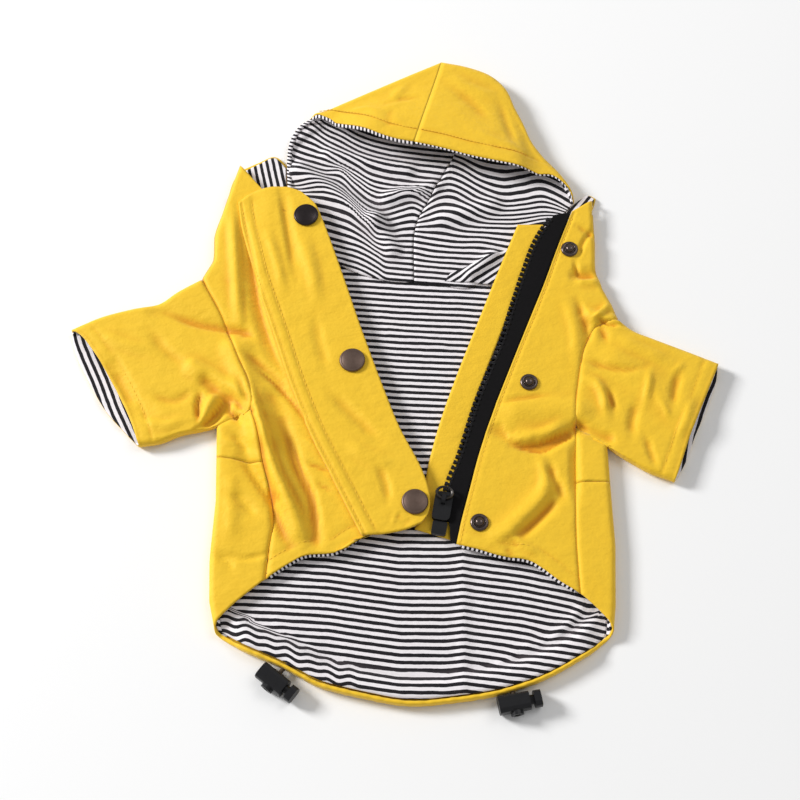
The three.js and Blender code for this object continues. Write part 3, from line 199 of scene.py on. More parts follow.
BRIM_LEFT = [
    (-61, 157), (-56, 168), (-48.5, 171), (-40, 167), (-33, 164.5), (-23, 161), (-9, 154.5), (0, 151.5),
    (8, 150),
]
CROWN_RIGHT = [
    (24, 210), (39, 206.5), (52, 200.5), (60.5, 191), (65, 178.5), (69.5, 167.5), (73.5, 156), (79.5, 146),
    (88, 135.5), (94, 125.5), (96, 118),
]
BRIM_RIGHT = [
    (8, 150), (22, 146.5), (38, 141.5), (50, 138.5), (59, 136.5), (65.5, 135), (70.5, 134), (76, 132),
    (85.5, 127.5), (91.5, 120.5), (94.5, 115),
]

# Folds: soft ridges, and troughs where the height is negative.
# Each: its two ends in plan, its half width and its height
FRONT_FOLDS = [
    ((-86, 26), (-70, -22), 11, 2.6),
    ((-70, -20), (-50, -72), 10, 1.7),
    ((-64, -2), (-43, -76), 8, -1.2),
    ((-80, -34), (-64, -56), 6, -1.6),
    ((-100, 8), (-78, -12), 6, -2.6),
    ((-108, 16), (-84, 2), 7, 2.4),
    ((-128, 50), (-84, 36), 9, -1.4),
    ((-150, 14), (-132, -10), 10, -1.2),
    ((50, -20), (72, -29), 7, -1.8),
    ((70, -27), (92, -18), 6, -2.0),
    ((60, -8), (92, -8), 10, 1.8),
    ((49, -76), (73, -50), 9, 0.7),
    ((92, -18), (106, -24), 5, -2.2),
    ((94, 70), (106, 73), 5, -1.6),
    ((100, 46), (114, 42), 6, 1.8),
    ((112, 20), (150, -14), 12, 1.4),
]
HOOD_FOLDS = [
    ((-56, 138), (-14, 106), 9, 4.2),
    ((-14, 106), (-4, 88), 7, 3),
    ((-6, 121), (18, 128), 7, 3),
    ((-40, 149), (4, 139), 7, 2.2),
    ((38, 72), (50, 84), 6, 3),
    ((24, 108), (50, 116), 9, 2),
]

# Finer creases of the yellow cloth.
# Each: the line in plan, its half width, its height, and its lean, positive for a steeper left side
FRONT_CREASES = [
    ([(-84, 102), (-80, 79), (-75, 52), (-68, 29), (-60, 9)], 5.5, -1.5, 0.4),
    ([(-92, 114), (-89, 86), (-86, 56), (-84, 38)], 6, 1.5, 0.2),
    ([(-124, 48), (-106, 41), (-84, 37), (-72, 31)], 4.5, -1.3, 0),
    ([(-84, 26), (-68, 13), (-55, -3)], 5, -1.4, 0),
    ([(-77, 17), (-61, 3), (-47, -16)], 2.2, -1.1, 0.3),
    ([(-76, -4), (-70, -26), (-66, -44), (-58, -62), (-53, -74)], 2.4, -1.2, 0.3),
    ([(-82, 13), (-74, -8), (-67, -30), (-60, -49), (-52, -63), (-47, -78)], 9, 2.2, 0.45),
    ([(-60, -14), (-52, -39), (-44, -57), (-41, -81)], 5, -1.8, 0),
    ([(-49, -25), (-42, -30)], 2, 0.6, 0),
    ([(-49, -37), (-36, -42)], 2.2, -0.8, 0),
    ([(-43, -48), (-34, -53)], 2.2, -0.6, 0),
    ([(-70, -46), (-64, -57), (-60, -71), (-55, -81)], 5, -1.6, 0),
    ([(-78, -35), (-72, -44), (-65, -55)], 4.5, -2.2, 0.2),
    ([(-86, -53), (-78, -59), (-71, -66)], 5, -1.2, 0),
    ([(-87, -39), (-84, -57), (-84, -81)], 7, 0.8, 0),
    ([(-92, -87), (-85, -90), (-81, -94)], 3.5, -1.0, 0),
    ([(-92, -85), (-76, -88), (-62, -85)], 3, -0.8, 0),
    ([(-86, -21), (-75, -32)], 4, -1.4, 0),
    ([(-91, -25), (-81, -28)], 3, 0.7, 0),
    ([(-104, -19), (-96, -13), (-90, -5), (-87, 0)], 4.5, -3.0, 0.3),
    ([(-101, -16), (-98, -6), (-93, 2)], 5, 2.0, 0),
    ([(-103, 3), (-104, -6), (-103, -15)], 3, -1.6, 0),
    ([(-88, 0), (-84, -9), (-73, -14)], 3.5, 1.8, 0),
    ([(-84, 9), (-80, 0), (-76, -8)], 4, -1.6, 0),
    ([(-92, -6), (-86, -11), (-80, -16)], 3.5, -1.6, 0),
    ([(-150, 16), (-143, 4), (-137, -7)], 7, -1.2, 0),
    ([(-158, 35), (-144, 29), (-131, 25)], 6, 0.7, 0),
    ([(-132, 38), (-123, 26), (-112, 17)], 6, -0.7, 0),
    ([(-129, 0), (-116, -3), (-106, 3)], 5, -0.8, 0),
    ([(-133, -14), (-120, -17), (-110, -13)], 5, 0.7, 0),
    ([(-166, 29), (-159, 20), (-154, 12)], 3, -0.7, 0),
    ([(54, -19), (57, -24), (71, -25), (80, -21), (88, -16)], 6, 2.2, -0.55),
    ([(56, -28), (72, -30), (79, -27), (87, -22)], 3.5, -1.8, 0),
    ([(74, -26), (89, -22)], 4, -1.6, 0),
    ([(52, -4), (63, -2), (76, 0)], 3, -0.9, 0),
    ([(75, -37), (78, -47), (82, -57)], 5, -1.3, 0),
    ([(71, -33), (73, -47), (70, -57)], 6, 0.8, 0),
    ([(89, -25), (88, -41), (88, -57)], 5, -1.2, 0),
    ([(43, -80), (52, -76), (64, -65), (73, -55), (79, -46)], 7, 1.1, -0.5),
    ([(57, -78), (70, -66), (80, -55)], 4.5, -1.4, 0.3),
    ([(55, -76), (61, -82), (68, -85)], 3, 1.0, -0.4),
    ([(52, -82), (56, -88)], 3, -0.6, 0),
    ([(96, 20), (107, 16), (118, 14), (128, 16)], 4, -1.0, 0),
    ([(96, 9), (102, 6), (105, -2), (106, -11)], 5, 1.6, 0),
    ([(108, 2), (110, -8)], 4, -1.0, 0),
    ([(130, 14), (128, 4), (126, -6)], 3.5, 1.0, 0),
    ([(133, -2), (138, -13)], 3, 0.8, 0),
    ([(145, 13), (142, 3), (140, -7)], 4.5, -1.1, 0),
    ([(122, -4), (119, -14), (118, -23)], 5, -1.0, 0),
    ([(125, -23), (129, -39)], 4, -0.8, 0),
    ([(141, 12), (148, 18)], 3, 0.6, 0),
    ([(150, 0), (146, -14), (140, -25)], 5, 0.6, 0),
    ([(113, 33), (126, 26), (140, 19)], 7, 0.8, 0),
    ([(102, 44), (106, 48), (111, 53)], 3, 1.4, 0.3),
    ([(104, 44), (110, 41), (117, 40)], 2.6, -1.8, 0),
    ([(105, 42), (107, 36), (108, 31)], 4, -1.2, 0),
    ([(94, 79), (96, 71), (106, 70)], 3, -1.4, 0),
    ([(94, 66), (106, 66)], 3, 1.0, 0),
    ([(94, 56), (98, 41), (99, 29)], 4, -1.2, 0),
    ([(88, 56), (92, 38), (92, 20)], 6, 0.8, 0),
    ([(96, 101), (103, 96), (107, 92)], 3, -0.8, 0),
    ([(108, 102), (100, 92), (96, 81)], 3, -0.9, 0),
]
FLAP_CREASES = [
    ([(-66, 125), (-62, 103), (-58, 80), (-56, 69)], 5.5, -1.1, -0.3),
    ([(-53, 94), (-47, 72), (-44, 54)], 7, 0.9, 0),
    ([(-72, 97), (-66, 77), (-62, 60)], 5, 0.7, 0),
    ([(-45, 45), (-42, 28), (-38, 14)], 6, -0.6, 0),
    ([(-36, 1), (-24, -12), (-10, -26)], 6, -0.9, 0),
    ([(-28, -26), (-18, -34), (-2, -40)], 7, 0.6, 0),
    ([(-11, -40), (-7, -50), (-6, -59)], 4.5, -0.8, 0),
    ([(-4, -67), (2, -68)], 1.6, -0.5, 0),
    ([(1, -71), (6, -69)], 1.5, -0.4, 0),
    ([(-1, -65), (-4, -70)], 2, 0.5, 0),
]
BRIM_CREASES = [
    ([(-5, 174), (-6, 166), (-7, 159)], 4, -0.7, 0),
    ([(-9, 177), (0, 181), (11, 182)], 3, -0.8, 0),
    ([(3, 192), (-3, 183), (-4, 176)], 5, 0.9, 0),
    ([(-28, 174), (-19, 175), (-10, 170)], 3, 0.6, 0),
    ([(27, 199), (40, 189), (56, 183)], 7, 1.0, 0),
    ([(31, 188), (42, 176), (49, 165)], 6, -0.9, 0),
    ([(56, 180), (60, 163), (64, 149)], 5, -1.0, 0),
    ([(39, 159), (56, 151), (69, 146)], 4, 0.5, 0),
]

# Guide stripes of the hood's lining: stripe number and the plan points it runs through
HOOD_GUIDES_LEFT = [
    (5, [(-62, 176), (-50, 170), (-42, 163), (-33, 158), (-22, 151), (-8, 146), (9, 143), (24, 141),
         (34, 140)]),
    (9, [(-62, 158), (-53, 154), (-44, 150), (-35, 144), (-24, 138), (-17, 133), (-8, 130), (4, 128),
         (24, 124)]),
    (12, [(-64, 148), (-57, 143), (-50, 141), (-42, 139), (-33, 139), (-25, 131), (-14, 122), (-6, 121),
          (1, 124), (9, 124), (22, 116)]),
    (15, [(-62, 131), (-50, 131), (-44, 131), (-38, 130), (-32, 126), (-27, 120), (-21, 113), (-17, 110),
          (-12, 109), (-8, 110), (1, 113), (7, 115), (14, 111)]),
    (19, [(-62, 123), (-48, 122), (-38, 119), (-28, 114), (-19, 105), (-12, 97), (-4, 96), (1, 97),
          (9, 97)]),
    (24, [(-62, 97), (-42, 96), (-34, 94), (-24, 91), (-18, 88), (-12, 84), (-8, 81), (-1, 80), (9, 79)]),
]
HOOD_GUIDES_RIGHT = [
    (0, [(22, 158), (35, 154), (45, 151), (59, 149), (75, 148), (96, 144)]),
    (3, [(20, 139), (28, 146), (34, 144), (44, 137), (52, 134), (58, 133), (68, 135), (78, 137), (96, 128)]),
    (6, [(10, 121), (21, 131), (26, 134), (31, 133), (44, 125), (51, 121), (58, 119), (68, 120), (78, 122),
         (84, 120), (96, 112)]),
    (9, [(8, 110), (19, 120), (26, 122), (31, 121), (44, 112), (51, 110), (61, 110), (71, 111), (81, 112),
         (96, 109)]),
    (12, [(8, 105), (18, 107), (24, 107), (37, 103), (54, 102), (64, 102), (77, 105), (92, 107)]),
    (15, [(8, 97), (18, 95), (31, 93), (44, 93), (59, 90), (80, 88)]),
    (18, [(8, 86), (17, 84), (30, 83), (43, 82), (60, 79)]),
    (21, [(8, 75), (20, 74), (30, 73), (43, 72), (60, 70)]),
]

# How far the back lining's stripes sink below the middle ones, across the coat, near the hem and higher up
HEM_DRIFT_X = [-95, -60, -35, -20, 0, 22, 31, 40, 60, 82, 105]
HEM_DRIFT_Y = [8.0, 6.6, 5.0, 2.8, 0.0, -0.2, 0.6, -0.6, -3.4, -8.0, -13.0]
TOP_DRIFT_Y = [4.0, 3.5, 2.6, 1.6, 0.0, -1.2, -1.5, -2.2, -3.4, -5.0, -6.0]

# Middles of the caps on the flap and of the studs on the right front, from the neck down
CAPS = [(-51.1, 106.2), (-24.8, 18.6), (7.4, -59.4)]
STUDS = [(91.5, 86), (66.8, 7), (39.4, -69.6)]


# Curves, patches and heights
def smooth_step(low, high, value):
    t = np.clip((value - low) / (high - low), 0, 1)
    return t * t * (3 - 2 * t)


def run_lengths(line):
    """Length of a line up to each of its points."""
    return np.concatenate([[0], np.cumsum(np.linalg.norm(np.diff(line, axis=0), axis=1))])


def curve(points, even=True):
    """Centripetal spline through plan points, as a function of 0 to 1 by length or by point."""
    p = np.array(points, float)
    p = np.vstack([2 * p[0] - p[1], p, 2 * p[-1] - p[-2]])
    gaps = np.maximum(np.linalg.norm(np.diff(p, axis=0), axis=1) ** 0.5, 1e-6)
    steps = np.linspace(0, 1, 25)[:-1]
    found, share = [], []
    for i in range(1, len(p) - 2):
        k = np.array([0, gaps[i - 1], gaps[i - 1] + gaps[i], gaps[i - 1] + gaps[i] + gaps[i + 1]])
        t = (k[1] + (k[2] - k[1]) * steps)[:, None]
        a = [((k[j + 1] - t) * p[i - 1 + j] + (t - k[j]) * p[i + j]) / (k[j + 1] - k[j]) for j in range(3)]
        b = [((k[j + 2] - t) * a[j] + (t - k[j]) * a[j + 1]) / (k[j + 2] - k[j]) for j in range(2)]
        found.append(((k[2] - t) * b[0] + (t - k[1]) * b[1]) / (k[2] - k[1]))
        share.append((i - 1 + steps) / (len(p) - 3))
    line = np.vstack(found + [p[-2][None]])
    share = np.concatenate(share + [[1.0]])
    if even:
        lengths = run_lengths(line)
        share = lengths / lengths[-1]
    return lambda t: np.stack([np.interp(t, share, line[:, 0]), np.interp(t, share, line[:, 1])], -1)


def joined(*lines):
    """Several lines as one, each with the same share of the way."""
    def line(t):
        t = np.asarray(t, float)
        step = np.minimum((t * len(lines)).astype(int), len(lines) - 1)
        found = np.zeros(t.shape + (2,))
        for i, part in enumerate(lines):
            found = np.where((step == i)[..., None], part(t * len(lines) - i), found)
        return found
    return line


def straight(start, end):
    return lambda t: np.asarray(start) + (np.asarray(end) - np.asarray(start)) * np.asarray(t)[..., None]


def shifted(line, x, y):
    return lambda t: line(t) + np.array([x, y])


def patch(near, far, start, end):
    """Plan surface between four edges: near and far run with a, start and end run with b."""
    def plan(a, b):
        a, b = np.broadcast_arrays(np.asarray(a, float), np.asarray(b, float))
        u, v = a[..., None], b[..., None]
        point = near(a) * (1 - v) + far(a) * v + start(b) * (1 - u) + end(b) * u
        point -= near(0.0) * (1 - u) * (1 - v) + near(1.0) * u * (1 - v)
        return point - far(0.0) * (1 - u) * v - far(1.0) * u * v
    return plan


def side_at(table, y):
    """Place across of a folded side."""
    found = np.array(table, float)
    return np.interp(y, found[:, 0], found[:, 1])


def relief(folds, x, y):
    """Height of the folds of a table."""
    height = np.zeros(np.shape(x))
    for (x1, y1), (x2, y2), width, rise in folds:
        along = np.array([x2 - x1, y2 - y1], float)
        dx, dy = x - x1, y - y1
        t = np.clip((dx * along[0] + dy * along[1]) / (along @ along), 0, 1)
        distance = np.hypot(dx - t * along[0], dy - t * along[1])
        height += rise * (1 - smooth_step(0, width, distance))
    return height


def creased(table, x, y):
    """Height of leaning creases that taper out at both ends."""
    across, along = np.ravel(np.asarray(x, float)), np.ravel(np.asarray(y, float))
    height = np.zeros(across.size)
    for line, full_width, rise, lean in table:
        width = CREASE_SHARE * full_width
        points = curve(line)(np.linspace(0, 1, 9))
        reach = width * (1 + abs(lean))
        low, high = points.min(axis=0) - reach, points.max(axis=0) + reach
        near = np.flatnonzero((across > low[0]) & (across < high[0]) & (along > low[1]) & (along < high[1]))
        if not near.size:
            continue
        starts, steps = points[:-1], np.diff(points, axis=0)
        away = np.stack([across[near], along[near]], -1)[:, None] - starts
        t = np.clip((away * steps).sum(-1) / (steps * steps).sum(-1), 0, 1)
        distance = np.linalg.norm(away - t[..., None] * steps, axis=-1)
        k = distance.argmin(axis=1)
        pick = np.arange(near.size)
        side = np.sign(steps[k, 0] * away[pick, k, 1] - steps[k, 1] * away[pick, k, 0])
        share = (k + t[pick, k]) / len(steps)
        taper = 0.25 + 0.75 * smooth_step(0, 0.3, share) * (1 - smooth_step(0.7, 1, share))
        beside = distance[pick, k] / (width * (1 - lean * side))
        height[near] += rise * taper * (1 - smooth_step(0, 1, beside))
    return height.reshape(np.shape(x))


def front_top(x, y):
    """Height of the fronts' and sleeves' upper face."""
    height = LOFT + relief(FRONT_FOLDS, x, y) + FOLD_GAIN * creased(FRONT_CREASES, x, y)
    return np.maximum(height, LINING_TOP + GAP + FRONT) + seam_dip(x, y)


def distance_to(line, x, y, count=60):
    """Plan distance of points to a line."""
    points = line(np.linspace(0, 1, count))
    across, along = np.ravel(np.asarray(x, float)), np.ravel(np.asarray(y, float))
    found = np.full(across.size, 1e9)
    for start, step in zip(points[:-1], np.diff(points, axis=0)):
        dx, dy = across - start[0], along - start[1]
        t = np.clip((dx * step[0] + dy * step[1]) / max(step @ step, 1e-9), 0, 1)
        found = np.minimum(found, (dx - t * step[0]) ** 2 + (dy - t * step[1]) ** 2)
    return np.sqrt(found).reshape(np.shape(x))


def groove(line, x, y, depth=0.45, width=0.9):
    """Dip that a row of stitches pulls into the cloth."""
    return -depth * np.exp(-((distance_to(line, x, y) / width) ** 2))


SEAM_LINES = [curve(p) for p in (SIDE_SEAM_LEFT, SIDE_SEAM_RIGHT, ARMHOLE_LEFT, ARMHOLE_RIGHT,
                                 UNDERARM_LEFT, UNDERARM_RIGHT)]
SEAM_DEPTH = 0.75
SEAM_HALF = 0.95


def seam_dip(x, y):
    """Groove where two panels of the front meet."""
    nearest = np.minimum.reduce([distance_to(line, x, y, 40) for line in SEAM_LINES])
    return -SEAM_DEPTH * np.exp(-((nearest / SEAM_HALF) ** 2))


def turn(distance, inset):
    """Share of the full height near a folded edge."""
    t = np.clip((distance - inset) / (EDGE_RADIUS - inset), 0, 1)
    return np.sqrt(1 - (1 - t) ** 2)


hem_line = curve(BACK_HEM)


def inside_sides(x, y):
    """Distance across from the nearer folded side."""
    return np.minimum(x - side_at(LEFT_SIDE, y), side_at(RIGHT_SIDE, y) - x)


def casing_lift(x, y):
    """How far the draw cord lifts the lining at the hem."""
    near_hem = 1 - smooth_step(CASING_WIDTH * 0.6, CASING_WIDTH, distance_to(hem_line, x, y))
    return CASING_LIFT * near_hem * smooth_step(4, 16, inside_sides(x, y))


# Materials
def node_tree(name):
    material = bpy.data.materials.new(name)
    material.use_nodes = True
    tree = material.node_tree
    return material, tree, tree.nodes["Principled BSDF"]


def feed(tree, socket, value):
    """Links a socket to another one, or sets it to a plain value."""
    if isinstance(value, bpy.types.NodeSocket):
        tree.links.new(value, socket)
    else:
        socket.default_value = value


def set_inputs(tree, node, **values):
    """Feeds a node's inputs, each named with underscores for its spaces."""
    for key, value in values.items():
        feed(tree, node.inputs[key.replace("_", " ")], value)
    return node


def add(tree, kind, **values):
    return set_inputs(tree, tree.nodes.new(kind), **values)


def mix_colour(tree, factor, first, second):
    node = tree.nodes.new("ShaderNodeMix")
    node.data_type = "RGBA"
    for place, value in ((0, factor), (6, first), (7, second)):
        feed(tree, node.inputs[place], value)
    return node.outputs[2]


def maths(tree, operation, *values):
    node = tree.nodes.new("ShaderNodeMath")
    node.operation = operation
    for socket, value in zip(node.inputs, values):
        feed(tree, socket, value)
    return node.outputs[0]


def noise(tree, scale, detail=3.0, stretch=(1, 1, 1)):
    place = tree.nodes.new("ShaderNodeTexCoord")
    mapping = add(tree, "ShaderNodeMapping", Vector=place.outputs["Object"], Scale=stretch)
    node = add(tree, "ShaderNodeTexNoise", Vector=mapping.outputs[0], Scale=scale, Detail=detail,
               Roughness=0.6)
    return node.outputs["Fac"]


def bump(tree, shader, *layers):
    """Layers are (height socket, strength, distance in metres), the broadest first."""
    last = None
    for height, strength, distance in layers:
        node = add(tree, "ShaderNodeBump", Height=height, Strength=strength, Distance=distance)
        if last:
            tree.links.new(last, node.inputs["Normal"])
        last = node.outputs[0]
    tree.links.new(last, shader.inputs["Normal"])


def painted_crease_shade(tree):
    """Share of painted crease shade that each point of a mesh carries."""
    node = tree.nodes.new("ShaderNodeAttribute")
    node.attribute_name = "painted_crease_shade"
    return node.outputs["Fac"]


def coat_cloth(name, colour, crease_shade_colour, light):
    """Coated yellow cloth: peached face, fine weave, and painted shade in the creases, a deeper colour."""
    material, tree, shader = node_tree(name)
    patches = noise(tree, 55, 4)
    base = mix_colour(tree, maths(tree, "MULTIPLY", patches, 0.55), colour, light)
    # Painted shade: the crease colour mixed in by each point's share of crease shade
    shaded = mix_colour(tree, painted_crease_shade(tree), base, crease_shade_colour)
    set_inputs(tree, shader, Base_Color=shaded, Roughness=0.62, Sheen_Weight=0.15, Sheen_Roughness=0.5,
               Specular_IOR_Level=0.3)
    crumple = noise(tree, 95, 5, (1, 1.6, 1))
    nap = noise(tree, 900, 3, (1, 2.2, 1))
    weave = noise(tree, 2600, 1)
    bump(tree, shader, (crumple, 0.55, 0.0016), (nap, 0.35, 0.00022), (weave, 0.3, 0.00012))
    return material


def striped_cloth(name):
    """White jersey with black stripes along the map's second coordinate."""
    material, tree, shader = node_tree(name)
    place = tree.nodes.new("ShaderNodeUVMap")
    place.uv_map = "cloth"
    split = add(tree, "ShaderNodeSeparateXYZ", Vector=place.outputs[0])
    wander = maths(tree, "MULTIPLY", maths(tree, "SUBTRACT", noise(tree, 190, 2), 0.5), STRIPE_WANDER)
    share = maths(tree, "PINGPONG", maths(tree, "ADD", split.outputs[1], wander), 0.5)
    ink = add(tree, "ShaderNodeMapRange", Value=share, From_Min=STRIPE_EDGE[0], From_Max=STRIPE_EDGE[1])
    ink.interpolation_type = "SMOOTHSTEP"
    white = mix_colour(tree, noise(tree, 120, 3), (0.86, 0.80, 0.83, 1), (0.97, 0.94, 0.96, 1))
    black = mix_colour(tree, noise(tree, 300, 3), (0.004, 0.003, 0.005, 1), (0.014, 0.012, 0.016, 1))
    striped = mix_colour(tree, ink.outputs[0], black, white)
    # Painted shade: a dark mauve mixed into the stripes in the creases
    shaded = mix_colour(tree, maths(tree, "MULTIPLY", painted_crease_shade(tree), 0.6), striped, (0.20, 0.16, 0.17, 1))
    set_inputs(tree, shader, Base_Color=shaded, Roughness=0.85, Sheen_Weight=0.2, Specular_IOR_Level=0.2)
    knit = add(tree, "ShaderNodeTexWave", Vector=place.outputs[0], Scale=4.6, Distortion=1.5)
    bump(tree, shader, (noise(tree, 110, 4), 0.35, 0.0012), (knit.outputs["Fac"], 0.25, 0.00012))
    return material


def tape_cloth():
    material, tree, shader = node_tree("zip_tape")
    colour = mix_colour(tree, noise(tree, 600, 3), (0.002, 0.002, 0.002, 1), (0.006, 0.005, 0.006, 1))
    set_inputs(tree, shader, Base_Color=colour, Roughness=0.8, Specular_IOR_Level=0.15)
    bump(tree, shader, (noise(tree, 500, 3, (1, 3, 1)), 0.5, 0.0002))
    return material


def plastic(name, colour, roughness, grain=0.15):
    material, tree, shader = node_tree(name)
    worn = tuple(min(1, c * 1.9 + 0.002) for c in colour[:3]) + (1,)
    mixed = mix_colour(tree, noise(tree, 260, 4), colour, worn)
    set_inputs(tree, shader, Base_Color=mixed, Roughness=roughness, Specular_IOR_Level=0.3)
    bump(tree, shader, (noise(tree, 1500, 3), grain, 0.0001))
    return material


def metal(name, colour, light, roughness):
    material, tree, shader = node_tree(name)
    mixed = mix_colour(tree, noise(tree, 380, 5), colour, light)
    set_inputs(tree, shader, Base_Color=mixed, Metallic=0.85, Roughness=roughness)
    bump(tree, shader, (noise(tree, 1200, 4), 0.3, 0.0001))
    return material


# Yellows as their own colour, the colour of their painted crease shade, and a lighter tone that varies at
# random
YELLOW = coat_cloth("yellow_cloth", (0.885, 0.53, 0.016, 1), (0.70, 0.29, 0.003, 1), (0.93, 0.62, 0.036, 1))
THREAD = coat_cloth("yellow_thread", (0.84, 0.50, 0.02, 1), (0.55, 0.28, 0.01, 1), (0.93, 0.62, 0.05, 1))
STRIPED = striped_cloth("striped_jersey")
TAPE = tape_cloth()
BLACK = plastic("black_plastic", (0.005, 0.005, 0.006, 1), 0.38)
TEETH = plastic("zip_teeth", (0.003, 0.003, 0.004, 1), 0.4, 0.08)
CAP_METAL = metal("cap_gunmetal", (0.125, 0.080, 0.062, 1), (0.19, 0.135, 0.110, 1), 0.45)
# A darker copy of the cap metal: painted shade for the first cap
SHADED_CAP_METAL = metal("shaded_cap_gunmetal", (0.030, 0.024, 0.025, 1), (0.055, 0.045, 0.046, 1), 0.3)
STUD_METAL = metal("stud_gunmetal", (0.07, 0.052, 0.046, 1), (0.15, 0.115, 0.105, 1), 0.27)
RING_METAL = metal("ring_gunmetal", (0.035, 0.032, 0.030, 1), (0.08, 0.072, 0.066, 1), 0.35)
CORD = plastic("cord_braid", (0.05, 0.035, 0.022, 1), 0.8, 0.4)


# Meshes
def to_frame(points):
    return (np.asarray(points, float) - MIDDLE) * MM


def new_object(name, data):
    found = bpy.data.objects.new(name, data)
    bpy.context.scene.collection.objects.link(found)
    return found


def outward(points, faces):
    """The faces of a closed shell of four-sided faces, turned so that they look outwards."""
    corners = points[faces]
    doubled = np.cross(corners[:, 1] - corners[:, 0], corners[:, 2] - corners[:, 0])
    doubled += np.cross(corners[:, 2] - corners[:, 0], corners[:, 3] - corners[:, 0])
    volume = np.einsum("ij,ij->i", corners.mean(axis=1) - points.mean(axis=0), doubled).sum()
    return faces if volume > 0 else faces[:, ::-1]


def new_mesh(name, points, faces, material, uv=None, painted_shade=None):
    """A piece of the coat from points in millimetres, with its cloth map and its crease shade."""
    mesh = bpy.data.meshes.new(name)
    mesh.from_pydata(to_frame(points).tolist(), [], [list(map(int, face)) for face in faces])
    mesh.polygons.foreach_set("use_smooth", [True] * len(mesh.polygons))
    if uv is not None:
        layer = mesh.uv_layers.new(name="cloth")
        loops = np.zeros(len(mesh.loops), int)
        mesh.loops.foreach_get("vertex_index", loops)
        layer.data.foreach_set("uv", np.asarray(uv, float)[loops].ravel())
    # Painted shade: a share per point that darkens the cloth in its creases
    shade = mesh.attributes.new("painted_crease_shade", "FLOAT", "POINT")
    shade.data.foreach_set("value", np.zeros(len(points)) if painted_shade is None else np.asarray(painted_shade, float))
    mesh.materials.append(material)
    mesh.update()
    piece = new_object(name, mesh)
    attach(piece, "coat")
    return piece


def grid_normals(points, wrapped=False):
    """Upward normals of a grid of points, whose rows close on themselves where it is wrapped."""
    if wrapped:
        closed = np.concatenate([points[:, -1:], points, points[:, :1]], 1)
        along = np.gradient(closed, axis=1)[:, 1:-1]
    else:
        along = np.gradient(points, axis=1)
    normals = np.cross(along, np.gradient(points, axis=0))
    return normals / np.maximum(np.linalg.norm(normals, axis=-1, keepdims=True), 1e-9)


def wall_faces(rows, columns, wrapped=False):
    """Faces of a wall between two grids of the same rows and columns."""
    layer = rows * columns
    i, j = np.meshgrid(np.arange(columns if wrapped else columns - 1), np.arange(rows - 1))
    n = (i + 1) % columns
    a, b, c, d = j * columns + i, j * columns + n, (j + 1) * columns + n, (j + 1) * columns + i
    faces = [np.stack([a, b, c, d], -1).reshape(-1, 4), np.stack([a, d, c, b], -1).reshape(-1, 4) + layer]
    run = np.arange(columns if wrapped else columns - 1)
    after = (run + 1) % columns
    end = (rows - 1) * columns
    faces.append(np.stack([run, run + layer, after + layer, after], -1))
    faces.append(np.stack([end + run, end + after, end + after + layer, end + run + layer], -1))
    if not wrapped:
        up = np.arange(rows - 1) * columns
        faces.append(np.stack([up, up + columns, up + columns + layer, up + layer], -1))
        up = up + columns - 1
        faces.append(np.stack([up, up + layer, up + columns + layer, up + columns], -1))
    return np.vstack(faces)


def ring_faces(first, rings, count):
    """Faces between rings of as many points each, which follow one another from the first point on."""
    faces = []
    for ring in range(rings - 1):
        for k in range(count):
            a, b = (first + ring * count + step % count for step in (k, k + 1))
            faces.append((a, b, b + count, a + count))
    return faces


def dip_shade(height, reach=4, gain=0.8):
    """Share of painted crease shade: how far each point lies under the mean of its neighbours."""
    blurred = height.copy()
    for _ in range(reach):
        for axis in (0, 1):
            padded = np.concatenate([blurred.take([0], axis), blurred, blurred.take([-1], axis)], axis)
            size = blurred.shape[axis]
            parts = [padded.take(range(k, k + size), axis) for k in range(3)]
            blurred = (parts[0] + parts[1] + parts[2]) / 3
    return np.clip((blurred - height) * gain, 0, 1)


def cloth(name, top, thickness, material, uv, node=None, painted_shade=None, wrapped=False, extra=None):
    """A thin closed shell under a grid of top points, and other such shells in the same piece."""
    shells = [(top, thickness, uv, painted_shade, wrapped)] + (extra or [])
    points, faces, maps, shades, count = [], [], [], [], 0
    for face, depth, cloth_map, shade, around in shells:
        rows, columns = face.shape[:2]
        under = face - grid_normals(face, around) * depth if np.isscalar(depth) else depth
        under = np.concatenate([under[..., :2], np.maximum(under[..., 2:], 0)], -1)
        points += [face.reshape(-1, 3), under.reshape(-1, 3)]
        faces.append(outward(np.vstack(points[-2:]), wall_faces(rows, columns, around)) + count)
        maps += [cloth_map.reshape(-1, 2)] * 2
        shade = np.zeros(rows * columns) if shade is None else shade.ravel()
        shades += [shade, shade]
        count += 2 * rows * columns
    piece = new_mesh(name, np.vstack(points), np.vstack(faces), material, np.vstack(maps),
                     np.concatenate(shades))
    if node:
        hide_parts(node)
    return piece


def grid(across, along):
    return np.meshgrid(np.linspace(0, 1, across + 1), np.linspace(0, 1, along + 1))


# One stitch: its length, radius and number of sides, and the rings along it as (place, swell)
STITCH = {"length": 1.9, "radius": 0.26, "sides": 6}
STITCH_RINGS = [(-0.5, 0.25), (-0.36, 0.9), (0.0, 1.15), (0.36, 0.9), (0.5, 0.25)]


